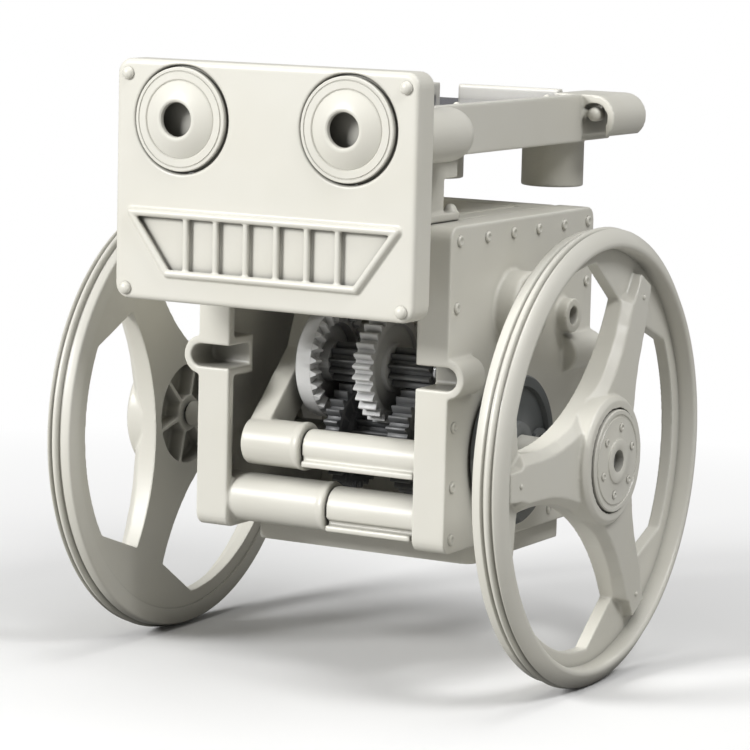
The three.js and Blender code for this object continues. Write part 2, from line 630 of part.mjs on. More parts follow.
function hubCap() {
  const { hubEnd } = WHEEL;
  const { radius, collar, bore } = HUB_CAP;
  const plate = join(
    bar("x", radius, [hubEnd - 0.8, hubEnd + 0.5], axleAt, 28, radius - 0.3),
    bar("x", collar, [hubEnd, hubEnd + 0.9], axleAt, 20),
  );
  return cut(plate, bar("x", bore, [hubEnd - 2, hubEnd + 2], axleAt, 14));
}

function driveDisc() {
  const { radius, from, to, rim, hub, recess } = DISC;
  const plate = turnedAcross(
    [
      [from, 0],
      [from, radius],
      [to, radius],
      [to, rim],
      [to - recess, rim],
      [to - recess, hub],
      [to, hub],
      [to, 0],
    ],
    axleAt,
    32,
  );
  const crankHole = bar("x", CRANK_HOLE.radius, [from - 1, to + 1], [AXLE.y + CRANK_HOLE.offset, AXLE.z], 16);
  return cut(plate, crankHole, bar("x", AXLE.radius + GAP, [20, 40], axleAt, 20));
}

function runningGear() {
  const spokes = { left: THREE.MathUtils.degToRad(3.4), right: THREE.MathUtils.degToRad(61) };
  const sides = { left: mirrored, right: (made) => made };
  for (const [side, place] of Object.entries(sides)) {
    const spokeAngle = spokes[side];
    piece(`${side}_wheel`, place(wheel(spokeAngle)), shellPlastic);
    piece(`${side}_hub_cap`, place(hubCap()), shellPlastic);
    piece(`${side}_drive_disc`, place(driveDisc()), discGrey);
    const sleeve = cut(
      bar("x", AXLE.sleeve + 0.5, [DISC.to + GAP, WHEEL.inner - GAP], axleAt, 18, AXLE.sleeve),
      bar("x", AXLE.radius + GAP, [20, 50], axleAt, 14),
    );
    piece(`${side}_axle_sleeve`, place(sleeve), shellPlastic);
  }
  piece("axle", bar("x", AXLE.radius, [-AXLE.end, AXLE.end], axleAt, 20), steel);
}

// ---- Head ----

/** The mouth's outline, moved outwards or inwards by an offset. */
function mouthOutline(grow) {
  const { top, bottom, topHalf, bottomHalf } = MOUTH;
  return polygon([
    [-bottomHalf - grow * 0.6, bottom - grow],
    [bottomHalf + grow * 0.6, bottom - grow],
    [topHalf + grow * 1.7, top + grow],
    [-topHalf - grow * 1.7, top + grow],
  ]);
}

function facePlate() {
  const { halfWidth, bottom, top, front, back, wall, corner } = FACE;
  const outside = frontPlate(roundedRect(-halfWidth, bottom, halfWidth, top, corner), [front, back], 4);
  const hollow = frontPlate(
    roundedRect(-halfWidth + 1.6, bottom + 1.6, halfWidth - 1.6, top - 1.6, 1.2),
    [front + wall, back + 1],
    2,
  );
  const ridge = frontPlate(mouthOutline(0), [front - MOUTH.rise, front + 0.5]);
  const sunk = frontPlate(mouthOutline(-MOUTH.ridge), [front - 3, front + 0.8]);
  const bars = Array.from({ length: MOUTH_BARS.count }, (_, n) => {
    const x = (n - (MOUTH_BARS.count - 1) / 2) * MOUTH_BARS.pitch;
    const across = [x - MOUTH_BARS.width / 2, x + MOUTH_BARS.width / 2];
    return box(across, [front - MOUTH.rise, front + 1], [MOUTH.bottom + 0.4, MOUTH.top - 0.4]);
  });
  const through = [front - 2, front + wall + 1];
  const holes = [-1, 1].map((side) => bar("y", EYE.radius + GAP, through, [side * EYE.x, EYE.z], 24));
  const pinHoles = Object.values(rivetPlaces()).map((at) => bar("y", RIVET.hole, through, at, 10));
  const pegs = [-1, 1].flatMap((side) => [
    bar("y", PEG.socket - 0.6, [front + 2.6, PANEL.front - GAP], [side * PEG.x, PEG.z], 14),
    bar("y", PEG.radius, [front + 2.7, PEG.to], [side * PEG.x, PEG.z], 12),
    box([side * PEG.x - 1, side * PEG.x + 1], [front + 2.6, back - 0.4], [PEG.z, top - 1]),
    box([side * 28 - 1, side * 28 + 1], [front + 2.6, back - 0.4], [PEG.z - 1, PEG.z + 1]),
  ]);
  return cut(join(cut(join(cut(outside, hollow), ridge), sunk), ...bars, ...pegs), ...holes, ...pinHoles);
}

/** Where the plate's four rivets are, in (x, z), by name. */
function rivetPlaces() {
  const x = FACE.halfWidth - RIVET.side;
  const [low, high] = [FACE.bottom + RIVET.bottom, FACE.top - RIVET.top];
  return { lower_left: [-x, low], lower_right: [x, low], upper_left: [-x, high], upper_right: [x, high] };
}

function rivet(at) {
  const { front } = FACE;
  const dome = [
    [front - 0.95, 0],
    [front - 0.8, 0.6],
    [front - 0.35, 1.05],
    [front - 0.05, 1.15],
    [front - 0.05, 0],
  ];
  return join(turnedForward(dome, at, 10), bar("y", RIVET.pin, [front - 0.2, front + 2], at, 8));
}

function eye(side) {
  const { front } = FACE;
  const { radius, pupil } = EYE;
  const ring = turnedForward(
    [
      [front - 0.5, 0],
      [front - 1.7, pupil + 0.3],
      [front - EYE.proud, 5],
      [front - 0.2, 7.3],
      [front - 0.7, 7.9],
      [front - 0.5, radius - 0.1],
      [front + 2.4, radius - 0.1],
      [front + 2.4, 0],
    ],
    [0, 0],
    24,
  );
  return cut(ring, bar("y", pupil, [front - 4, front + 4], [0, 0], 18)).translate([side * EYE.x, 0, EYE.z]);
}

function head() {
  piece("face_plate", facePlate(), shellPlastic);
  piece("left_eye", eye(-1), shellPlastic);
  piece("right_eye", eye(1), shellPlastic);
  for (const [corner, at] of Object.entries(rivetPlaces())) piece(`face_rivet_${corner}`, rivet(at), shellPlastic);
}

function neck() {
  const { inner, outer, front, back, step, shoulder, peg } = NECK;
  const outline = roundedRect(-outer - 0.6, front - 0.6, outer + 0.6, shoulder + 0.6, 1);
  const base = floorPlate(outline, [SHELL.top + GAP, SHELL.top + 1.6], 3);
  const posts = [-1, 1].flatMap((side) => {
    const across = [side * inner, side * outer].sort((a, b) => a - b);
    const middle = (side * (inner + outer)) / 2;
    return [
      box(across, [front, back], [SHELL.top + 1, step + 1]),
      box(across, [front, shoulder], [step, PANEL.bottom - GAP]),
      bar("z", peg, [step + 1, PANEL.bottom + 1.2], [middle, (front + shoulder) / 2], 16),
    ];
  });
  piece("neck_bracket", join(base, ...posts), shellPlastic);
}

// ---- Solar panel ----

/** A capsule-ended cylinder along Y whose dome faces the given way. */
function domed([x, z], radius, [flat, tangent], segments = 16) {
  const way = Math.sign(tangent - flat);
  const steps = 3;
  const dome = Array.from({ length: steps + 1 }, (_, n) => {
    const angle = (n * Math.PI) / 2 / steps;
    return [tangent - way * radius * (1 - Math.sin(angle)), n === steps ? 0 : radius * Math.cos(angle)];
  });
  const profile = [[flat, 0], [flat, radius], ...dome];
  return turnedForward(way > 0 ? profile : profile.reverse(), [x, z], segments);
}

const PANEL_MIDDLE = (PANEL.front + PANEL.back) / 2;

/** The span across X between two distances from the middle, on one side. */
const sided = (side, near, far) => [side * near, side * far].sort((a, b) => a - b);

/** The frame's tray before anything is hung on it: the same at both ends. */
function panelTray() {
  const { halfWidth, front, back, top, bottom, wall } = PANEL;
  const tabTop = [CELL.top + 0.3, top - 0.9];
  const outside = box([-halfWidth, halfWidth], [front, back], [bottom, top]);
  const well = box([-halfWidth + wall, halfWidth - wall], [front + wall, back - wall], [bottom + 1.1, top + 1]);
  const ends = [[front - 1, front + wall + 0.1], [back - wall - 0.1, back + 1]];
  const gaps = ends.flatMap((span) =>
    [-1, 1].map((side) => box(sided(side, PANEL_GAP.from, PANEL_GAP.to), span, [PANEL_GAP.floor, top + 1])),
  );
  const thick = [
    [front + 0.5, front + PANEL_CORNER.length],
    [back - PANEL_CORNER.length, back - 0.5],
  ];
  const corners = thick.flatMap((span) =>
    [-1, 1].map((side) => box(sided(side, PANEL_GAP.to, halfWidth - 0.5), span, [PANEL_CORNER.above, top])),
  );
  const tabs = [2 * PANEL_MIDDLE - PANEL_TAB.y, PANEL_TAB.y].flatMap((y) =>
    [-1, 1].map((side) => {
      const span = [y - PANEL_TAB.halfLength, y + PANEL_TAB.halfLength];
      const across = sided(side, halfWidth - 0.5, halfWidth - PANEL_TAB.reach);
      const shape = roundedRect(across[0], span[0], across[1], span[1], 2.4);
      return join(floorPlate(shape, tabTop, 3), box(sided(side, halfWidth - 3, halfWidth - 0.5), span, tabTop));
    }),
  );
  return join(cut(outside, well, ...gaps), ...corners, ...tabs);
}

/** An arch-shaped clip beside the rail's rear end, open underneath, with a knob in its front. */
function panelClip(side) {
  const { x, z, outer, slot, length, mouth } = PANEL_CLIP;
  const { halfWidth, back, bottom, top } = PANEL;
  const start = back - length;
  const at = [side * x, z];
  const knob = new THREE.SphereGeometry(CLIP_KNOB.radius, 12, 8).translate(side * x, CLIP_KNOB.y, CLIP_KNOB.z);
  return join(
    cut(
      join(bar("y", outer, [start, back], at, 24), box(sided(side, halfWidth - 1, x), [start, back], [z, top])),
      bar("y", slot, [start - 1, back + 1], at, 16),
      bar("y", mouth, [start - 1, start + 1.3], at, 16),
      box([side * x - slot, side * x + slot], [start - 1, back + 1], [bottom - 2, z]),
    ),
    solid(knob),
    box(sided(side, halfWidth - 1, x), [CLIP_KNOB.y, CLIP_KNOB.y + 1.2], [CLIP_KNOB.z - 0.6, CLIP_KNOB.z + 0.6]),
  );
}

function panelFrame() {
  const { halfWidth, front, back, top, bottom, wall } = PANEL;
  const reach = halfWidth - wall + GAP;
  const inside = box([-reach, reach], [front, back], [bottom, top + 1]);
  const added = [];
  const removed = [];
  for (const side of [-1, 1]) {
    const pegAt = [side * PEG.x, PEG.z];
    const legAt = [side * PANEL_LEG.x, PANEL_LEG.y];
    const neckAt = [(side * (NECK.inner + NECK.outer)) / 2, (NECK.front + NECK.shoulder) / 2];
    const socket = domed(pegAt, PEG.socket, [front, PEG.socketEnd + PEG.socket]);
    const bridge = box(sided(side, halfWidth - 1, PEG.x), [front, PEG.socketEnd], [PEG.z - 3.6, PEG.z + 3.6]);
    added.push(
      bar("z", PANEL_LEG.radius, [PANEL_LEG.bottom, bottom + 0.5], legAt, 20),
      cut(join(socket, bridge), inside),
      cut(panelClip(side), inside),
    );
    removed.push(
      bar("y", PEG.radius + GAP, [front - 1, PEG.to + 0.6], pegAt, 12),
      bar("z", PANEL_LEG.bore, [PANEL_LEG.bottom - 1, bottom - 1], legAt, 14),
      bar("z", NECK.peg + GAP, [bottom - 1, bottom + 2], neckAt, 16),
    );
  }
  const wireHole = bar("z", WIRE.hole, [bottom - 1, bottom + 3], [0, WIRE.y], 14);
  return cut(join(panelTray(), ...added), ...removed, wireHole);
}

function solarPanel() {
  piece("panel_frame", panelFrame(), shellPlastic);
  const { halfWidth, front, back, wall } = PANEL;
  const edge = wall + CELL.air;
  const cell = box([-halfWidth + edge, halfWidth - edge], [front + edge, back - edge], [CELL.bottom, CELL.top]);
  piece("solar_cell", cell, solarBlue);
}

/** A lead from under the panel, through the top cover and the bulkhead, to one of the motor's tabs. */
function lead(side) {
  const tab = MOTOR.x + side * MOTOR_TAB.x;
  const back = MOTOR.front + MOTOR.length;
  const apart = side * WIRE.apart;
  const curve = new THREE.CatmullRomCurve3([
    new THREE.Vector3(apart, WIRE.y, CELL.bottom - 0.15),
    new THREE.Vector3(apart, WIRE.y, PANEL.bottom - 3),
    new THREE.Vector3(apart, WIRE.y, SHELL.top - 2),
    new THREE.Vector3(CABLE_HOLE.x / 2, 0, CABLE_HOLE.z + 4 + apart),
    new THREE.Vector3(CABLE_HOLE.x, BULKHEAD.front - 1, CABLE_HOLE.z + apart),
    new THREE.Vector3(CABLE_HOLE.x, BULKHEAD.back + 1, CABLE_HOLE.z + apart),
    new THREE.Vector3((CABLE_HOLE.x + tab) / 2, back - 3, CABLE_HOLE.z - 1.5 + apart),
    new THREE.Vector3(tab, back + 3.3, MOTOR.z + 9.8),
    new THREE.Vector3(tab, back + 3.3, MOTOR.z + 4.4),
  ]);
  const section = new THREE.Shape();
  section.absarc(0, 0, WIRE.radius, 0, 2 * Math.PI);
  return solid(new THREE.ExtrudeGeometry(section, { steps: 20, extrudePath: curve, curveSegments: 3 }));
}

shells();
gearBracket();
covers();
gearTrain();
motor();
runningGear();
head();
neck();
solarPanel();
piece("lead_red", lead(-1), wireRed);
piece("lead_black", lead(1), wireBlack);

export default robot;
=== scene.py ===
import json
import math

import bmesh
import bpy
from mathutils import Matrix, Vector


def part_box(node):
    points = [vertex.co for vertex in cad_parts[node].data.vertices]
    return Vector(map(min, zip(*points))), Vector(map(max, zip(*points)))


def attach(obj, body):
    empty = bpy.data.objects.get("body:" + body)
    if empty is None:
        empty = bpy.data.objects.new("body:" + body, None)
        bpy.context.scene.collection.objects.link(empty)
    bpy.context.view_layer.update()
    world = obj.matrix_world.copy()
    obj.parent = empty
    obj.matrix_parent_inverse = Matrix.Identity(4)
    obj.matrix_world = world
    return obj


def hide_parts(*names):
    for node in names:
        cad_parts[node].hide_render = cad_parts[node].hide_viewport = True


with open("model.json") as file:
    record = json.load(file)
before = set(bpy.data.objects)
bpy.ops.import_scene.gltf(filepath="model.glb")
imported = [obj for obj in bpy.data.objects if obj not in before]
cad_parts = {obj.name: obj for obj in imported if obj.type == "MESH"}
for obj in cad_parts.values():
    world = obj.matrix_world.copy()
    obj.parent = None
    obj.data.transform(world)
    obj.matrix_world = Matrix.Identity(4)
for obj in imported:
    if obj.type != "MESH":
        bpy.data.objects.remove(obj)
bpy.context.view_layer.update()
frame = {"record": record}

# ---- Driving dimensions, in millimetres, drawn from the floor under the middle of the axle ----
# X runs across the robot, Y from its face (-Y) to its back (+Y), and Z is up.
GAP = 0.1
PLAY = 0.3

WHEEL = {"radius": 41, "inner": 40.6, "outer": 46.6, "web": 2.8, "ring": 37.4, "hub": 11.5, "hub_end": 48}
HUB_POCKET = {"boss": 3.4, "radius": 9.4, "depth": 3.6, "ribs": 6, "rib": 0.8}
AXLE = {"at": (0, 41), "radius": 1.5, "end": 47.6, "sleeve": 2.3}
DISC = {"radius": 13.5, "from": 26.1, "to": 29.3}

SHELL = {"out": 25.6, "in": 23.4, "edge": 19.1, "front": -21.4, "back": 35, "bottom": 24.5, "top": 82.3}
SHELL_CORNER = 2.5
SHELL_LIP = 2
CLIP = {"z": 55.7, "slot": 2.05, "wall": 1.45, "centre": 25.2, "length": 8.4, "rear": 12, "end": 1}
BOSS = {"at": (2, 66.1), "radius": 6.9, "height": 4.2}
REAR_BOSS = {"at": (22.8, 63), "radius": 3.2, "height": 2.4, "bore": 1.7}

TIE = {"sleeve": 4.6, "rod": 3.9, "pin": 2.4, "bore": 2.7, "join": 0.8, "depth": 10, "screw": 0.9}
TIES = {
    "front_lower": (-16.5, 29.9),
    "rear_lower": (29.8, 29.9),
    "rear_upper": (29.8, 74.6),
    "front_upper": (-16.3, 74.6),
}
MID_TIE = {"at": (-16.5, 40.3), "rod": 3.3, "sleeve": 4.4, "join": -4.8, "left": -16.8}
BRACKET = {"from": -16.8, "to": -12.6, "lug": (1.5, 65.9), "arm": 3.6, "eye": 2.8, "screw": 1.8}

MODULE = 0.65
PRESSURE = math.radians(25)
TEETH = {"pinion": 10, "gear": 30, "crown": 26, "motor": 8}
CENTRES = MODULE * (TEETH["pinion"] + TEETH["gear"]) / 2
SHAFT_Y = -1.5
SHAFT = {"at": (SHAFT_Y, AXLE["at"][1] + math.sqrt(CENTRES**2 - SHAFT_Y**2)), "radius": 1, "span": (-16.2, 21.4)}
CROWN = {"back": -11.1, "root": -7.9, "tooth": 1.2, "inner": 8.1, "outer": 10.3}
IDLER = {"gear": (-5.9, -3.1), "pinion": (-4.9, 5)}
SECOND_GEAR = (0.9, 4.5)
SECOND_PINION = (4.6, 13)
OUTPUT_GEAR = (7, 11)

MOTOR = {"x": CROWN["root"] + 0.7 + MODULE * TEETH["motor"] / 2, "radius": 10.4, "front": 13.8, "length": 16.5}
BULKHEAD = {"front": 11.6, "back": 13.6, "half": 18.8, "bottom": 26.8, "top": 79.2}

FACE = {"half": 30, "bottom": 67.7, "top": 109.7, "front": -42.5, "back": -37.1, "wall": 2.2, "corner": 2.6}
EYE = {"x": 16.6, "z": 99.6, "radius": 9.1, "pupil": 2.95, "proud": 2}
MOUTH = {"top": 83.8, "bottom": 72, "top_half": 27.6, "bottom_half": 19.3, "bars": 6, "pitch": 6.07}

PANEL = {"half": 22, "front": -35.6, "back": 50, "top": 102.9, "bottom": 94, "wall": 1.9}
CELL = {"top": 100.2, "bottom": 95.4}
PANEL_LEG = {"x": 12.9, "y": 42.4, "radius": 5.9, "bottom": 85, "bore": 3.4}
PANEL_CLIP = {"x": 24.4, "z": 98.6, "outer": 4.3, "slot": 2.4, "length": 14.3}
PEG = {"x": 24.4, "z": 98.3, "radius": 2.4, "to": -25, "socket": 4.7, "socket_end": -22}
WIRE = {"y": -6.4, "hole": 1.7, "radius": 0.55, "apart": 0.8}
CABLE_HOLE = {"x": 12, "z": 70, "radius": 2}
NECK = {"inner": 14, "outer": 20, "front": -20, "back": -14.1, "step": 89.8, "shoulder": -9.3}

MILLIMETRE = 0.001
axle_low, axle_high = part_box("axle")
HOME = Matrix.Translation(((0, (axle_low.y + axle_high.y) / 2, 0)))
RECORD = frame["record"]

# ---- Solids: closed meshes in millimetres that can be joined and cut ----


class Solid:
    """A closed mesh. + joins two, - cuts one from the other, & keeps what they share."""

    def __init__(self, mesh):
        self.mesh = mesh

    def __add__(self, other):
        return combine(self, other, "UNION")

    def __sub__(self, other):
        return combine(self, other, "DIFFERENCE")

    def __and__(self, other):
        return combine(self, other, "INTERSECT")

    def placed(self, matrix):
        mesh = self.mesh.copy()
        mesh.transform(matrix)
        if matrix.determinant() < 0:
            mesh.flip_normals()
        return Solid(mesh)

    def moved(self, x=0, y=0, z=0):
        return self.placed(Matrix.Translation((x, y, z)))

    def spun(self, degrees, axis="X", centre=(0, 0, 0)):
        """Turned about a line through centre."""
        away = Matrix.Translation(centre)
        return self.placed(away @ Matrix.Rotation(math.radians(degrees), 4, axis) @ away.inverted())

    def mirrored(self):
        """The same solid on the robot's other side."""
        return self.placed(Matrix.Diagonal((-1, 1, 1, 1)))


def baked(mesh, *modifiers):
    """The mesh after these modifiers, each a (type, settings) pair."""
    holder = bpy.data.objects.new("holder", mesh)
    bpy.context.scene.collection.objects.link(holder)
    for kind, settings in modifiers:
        modifier = holder.modifiers.new(kind, kind)
        for key, value in settings.items():
            setattr(modifier, key, value)
    made = bpy.data.meshes.new_from_object(holder.evaluated_get(bpy.context.evaluated_depsgraph_get()))
    bpy.data.objects.remove(holder)
    return made


def combine(first, second, operation):
    tool = bpy.data.objects.new("tool", second.mesh)
    bpy.context.scene.collection.objects.link(tool)
    made = baked(first.mesh, ("BOOLEAN", {"operation": operation, "solver": "MANIFOLD", "object": tool}))
    bpy.data.objects.remove(tool)
    return Solid(made)


def join(first, *rest):
    for other in rest:
        first = first + other
    return first


def cut(first, *tools):
    for tool in tools:
        first = first - tool
    return first


def closed(points, faces):
    """A solid from points and faces, with every face turned outwards."""
    mesh = bpy.data.meshes.new("solid")
    mesh.from_pydata(points, [], faces)
    work = bmesh.new()
    work.from_mesh(mesh)
    bmesh.ops.recalc_face_normals(work, faces=work.faces)
    work.to_mesh(mesh)
    work.free()
    return Solid(mesh)


def place(axis, u, v, along):
    """A point from its two places across an axis and its place along it."""
    return {"x": (along, u, v), "y": (u, along, v), "z": (u, v, along)}[axis]


def loft(axis, sections):
    """A solid through outlines of equal length, each a (place along the axis, outline) pair."""
    count = len(sections[0][1])
    points = [place(axis, u, v, along) for along, outline in sections for u, v in outline]
    faces = [tuple(range(count)), tuple(range(len(points) - count, len(points)))]
    for level in range(len(sections) - 1):
        for i in range(count):
            low, after = level * count + i, level * count + (i + 1) % count
            faces.append((low, after, after + count, low + count))
    return closed(points, faces)


def plate(axis, outline, span):
    return loft(axis, [(span[0], outline), (span[1], outline)])


def block(x, y, z):
    """A box from its two limits on each axis, in either order."""
    (x0, x1), (y0, y1) = sorted(x), sorted(y)
    return plate("z", [(x0, y0), (x1, y0), (x1, y1), (x0, y1)], sorted(z))


def arc(centre, radius, start, end, steps=8):
    """Points along an arc, with its angles in degrees."""
    angles = [math.radians(start + (end - start) * i / steps) for i in range(steps + 1)]
    return [(centre[0] + radius * math.cos(a), centre[1] + radius * math.sin(a)) for a in angles]


def circle(centre, radius, steps=64):
    return arc(centre, radius, 0, 360, steps)[:-1]


def rounded(u0, v0, u1, v1, radius, steps=6):
    """A rectangle with round corners."""
    return (
        arc((u1 - radius, v0 + radius), radius, -90, 0, steps)
        + arc((u1 - radius, v1 - radius), radius, 0, 90, steps)
        + arc((u0 + radius, v1 - radius), radius, 90, 180, steps)
        + arc((u0 + radius, v0 + radius), radius, 180, 270, steps)
    )


def rod(axis, radius, span, centre, steps=64, far=None):
    """A round bar along an axis. far is its radius at the far end of the span, if it tapers."""
    end = radius if far is None else far
    return loft(axis, [(span[0], circle(centre, radius, steps)), (span[1], circle(centre, end, steps))])


def turned(axis, profile, centre=(0, 0), steps=128):
    """A profile of (along, radius) points turned about an axis. It ends on the axis or closes on itself."""
    on_axis = profile[0][1] == 0
    rings = profile[1:-1] if on_axis else profile
    points = []
    for along, radius in rings:
        points += [place(axis, u, v, along) for u, v in circle(centre, radius, steps)]
    faces = []
    last = len(rings) if on_axis else len(rings) + 1
    for ring in range(last - 1):
        here, there = ring * steps, ((ring + 1) % len(rings)) * steps
        for i in range(steps):
            j = (i + 1) % steps
            faces.append((here + i, here + j, there + j, there + i))
    if on_axis:
        for end, base in ((profile[0], 0), (profile[-1], (len(rings) - 1) * steps)):
            points.append(place(axis, *centre, end[0]))
            faces += [(base + i, base + (i + 1) % steps, len(points) - 1) for i in range(steps)]
    return closed(points, faces)


def bead(start, end, radius, steps=24):
    """A round-ended bar between two points."""
    start, end = Vector(start), Vector(end)
    length = (end - start).length
    cap = [(radius * math.sin(a), radius * math.cos(a)) for a in [math.radians(t) for t in range(-90, 91, 15)]]
    low = [(along, around) for along, around in cap[: len(cap) // 2 + 1]]
    high = [(along + length, around) for along, around in cap[len(cap) // 2 :]]
    profile = [(-radius, 0)] + low[1:] + high[:-1] + [(length + radius, 0)]
    turn = Vector((0, 0, 1)).rotation_difference(end - start).to_matrix().to_4x4()
    return turned("z", profile, (0, 0), steps).placed(Matrix.Translation(start) @ turn)


def moulded(solid, voxel=0.3, ease=3):
    """Softens every edge and corner as a mould does."""
    remesh = ("REMESH", {"mode": "VOXEL", "voxel_size": voxel})
    return Solid(baked(solid.mesh, remesh, ("SMOOTH", {"factor": 0.5, "iterations": ease})))


def eased(solid, width=0.12, segments=2, angle=35):
    """Rounds the sharp edges of a turned or cut piece."""
    bevel = {"width": width, "segments": segments, "angle_limit": math.radians(angle), "limit_method": "ANGLE"}
    bevel["use_clamp_overlap"] = True
    return Solid(baked(solid.mesh, ("BEVEL", bevel)))


def beside(*solids):
    """Several solids in one mesh, each left whole."""
    work = bmesh.new()
    for solid in solids:
        work.from_mesh(solid.mesh)
    mesh = bpy.data.meshes.new("solid")
    work.to_mesh(mesh)
    work.free()
    return Solid(mesh)


# ---- Materials ----


def node(tree, kind, settings=None, **inputs):
    """Adds a shader node. An input is a value, or another node's output to be wired in."""
    made = tree.nodes.new(kind)
    for key, value in (settings or {}).items():
        setattr(made, key, value)
    for key, value in inputs.items():
        socket = made.inputs[key.replace("_", " ")]
        if isinstance(value, bpy.types.NodeSocket):
            tree.links.new(value, socket)
        else:
            socket.default_value = value
    return made


def new_material(name):
    material = bpy.data.materials.new(name)
    material.use_nodes = True
    tree = material.node_tree
    tree.nodes.clear()
    return material, tree


def finished(tree, shader):
    output = tree.nodes.new("ShaderNodeOutputMaterial")
    tree.links.new(shader.outputs[0], output.inputs["Surface"])


def noise(tree, scale, detail=2.0, roughness=0.5):
    place_in = node(tree, "ShaderNodeTexCoord").outputs["Object"]
    return node(
        tree, "ShaderNodeTexNoise", Vector=place_in, Scale=scale, Detail=detail, Roughness=roughness
    ).outputs[0]


def ranged(tree, value, low, high, from_low=0.3, from_high=0.7):
    made = node(tree, "ShaderNodeMapRange", Value=value, From_Min=from_low, From_Max=from_high, To_Min=low, To_Max=high)
    return made.outputs["Result"]


def mixed(tree, share, first, second, blend="MIX"):
    return node(tree, "ShaderNodeMixRGB", {"blend_type": blend}, Fac=share, Color1=first, Color2=second).outputs[0]


def shade(colour, factor):
    return tuple(c * factor for c in colour[:3]) + (1,)


def painted_crevice_shade(tree, colour, depth, darkest):
    """Painted shade: darkens a colour where surfaces crowd in, broadly in deep places and sharply in narrow gaps."""
    for distance, low in ((depth, darkest), (depth / 8, 0.5 + darkest / 2)):
        occlusion = node(tree, "ShaderNodeAmbientOcclusion", {"samples": 6}, Distance=distance)
        share = ranged(tree, occlusion.outputs["AO"], low, 1.0, 0.1, 0.8)
        grey = node(tree, "ShaderNodeCombineColor", Red=share, Green=share, Blue=share).outputs[0]
        colour = mixed(tree, 1.0, colour, grey, "MULTIPLY")
    return colour


def plastic(name, colour, roughness=0.36, painted_shade=0.6, grain=0.05, wear=0.06, depth=0.012):
    """Moulded plastic: faint flow marks, fine grain, rubbed edges and painted shade in its crevices."""
    material, tree = new_material(name)
    base = tuple(colour) + (1,)
    cloud = ranged(tree, noise(tree, 45.0, 3.0), 0.0, 1.0)
    tone = mixed(tree, cloud, base, tuple(c * f for c, f in zip(colour, (0.965, 0.96, 0.94))) + (1,))
    edge = node(tree, "ShaderNodeNewGeometry").outputs["Pointiness"]
    rubbed = ranged(tree, edge, 0.0, wear, 0.52, 0.6)
    tone = mixed(tree, rubbed, tone, (1, 1, 0.98, 1))
    # Painted shade: the colour darkens in crevices and deep places, as far out as depth.
    tone = painted_crevice_shade(tree, tone, depth, painted_shade)
    gloss = ranged(tree, noise(tree, 160.0, 4.0), roughness - 0.05, roughness + 0.08)
    fine = node(tree, "ShaderNodeBump", Strength=grain, Distance=0.00004, Height=noise(tree, 2600.0, 2.0))
    flow = node(
        tree, "ShaderNodeBump", Strength=0.05, Distance=0.0004, Height=noise(tree, 70.0, 1.0), Normal=fine.outputs[0]
    )
    shader = node(
        tree, "ShaderNodeBsdfPrincipled", Base_Color=tone, Roughness=gloss, IOR=1.5, Normal=flow.outputs[0]
    )
    finished(tree, shader)
    return material


def metal(name, colour, roughness=0.25, drawn=(1, 1, 1)):
    """Drawn or pressed metal with fine lines along it and a few dull patches."""
    material, tree = new_material(name)
    place_in = node(tree, "ShaderNodeTexCoord").outputs["Object"]
    stretched = node(tree, "ShaderNodeMapping", Vector=place_in)
    stretched.inputs["Scale"].default_value = drawn
    lines = node(tree, "ShaderNodeTexNoise", Vector=stretched.outputs[0], Scale=900.0, Detail=3.0).outputs[0]
    tone = mixed(tree, ranged(tree, lines, 0, 1), tuple(colour) + (1,), shade(colour, 0.82))
    # Painted shade darkens the metal's colour in crevices.
    tone = painted_crevice_shade(tree, tone, 0.004, 0.55)
    gloss = ranged(tree, noise(tree, 200.0, 3.0), roughness - 0.06, roughness + 0.1)
    bump = node(tree, "ShaderNodeBump", Strength=0.08, Distance=0.00003, Height=lines)
    shader = node(
        tree, "ShaderNodeBsdfPrincipled", Base_Color=tone, Metallic=1.0, Roughness=gloss, Normal=bump.outputs[0]
    )
    finished(tree, shader)
    return material


def solar_material(name):
    """Dark blue cells under clear resin, with thin silver lines along them and a gap between cells."""
    material, tree = new_material(name)
    place_in = node(tree, "ShaderNodeTexCoord").outputs["Object"]
    split = node(tree, "ShaderNodeSeparateXYZ", Vector=place_in)

    def stripe(axis, pitch, width, shift=0.0):
        moved = node(tree, "ShaderNodeMath", {"operation": "ADD"})
        tree.links.new(split.outputs[axis], moved.inputs[0])
        moved.inputs[1].default_value = shift
        wrap = node(tree, "ShaderNodeMath", {"operation": "PINGPONG"})
        tree.links.new(moved.outputs[0], wrap.inputs[0])
        wrap.inputs[1].default_value = pitch / 2
        thin = node(tree, "ShaderNodeMath", {"operation": "LESS_THAN"})
        tree.links.new(wrap.outputs[0], thin.inputs[0])
        thin.inputs[1].default_value = width / 2
        return thin.outputs[0]

    cloud = ranged(tree, noise(tree, 220.0, 4.0, 0.7), 0.0, 1.0)
    blue = mixed(tree, cloud, (0.012, 0.018, 0.11, 1), (0.03, 0.04, 0.2, 1))
    fingers = mixed(tree, stripe("Y", 0.0016, 0.00014), blue, (0.05, 0.065, 0.24, 1))
    buses = mixed(tree, stripe("X", 0.0042, 0.00035, 0.0021), fingers, (0.62, 0.64, 0.68, 1))
    gaps = mixed(tree, stripe("Y", 0.0405, 0.0009, 0.0), buses, (0.75, 0.76, 0.78, 1))
    gloss = ranged(tree, noise(tree, 90.0, 3.0), 0.1, 0.2)
    shader = node(
        tree,
        "ShaderNodeBsdfPrincipled",
        Base_Color=gaps,
        Roughness=gloss,
        IOR=1.5,
        Coat_Weight=1.0,
        Coat_Roughness=0.04,
    )
    finished(tree, shader)
    return material
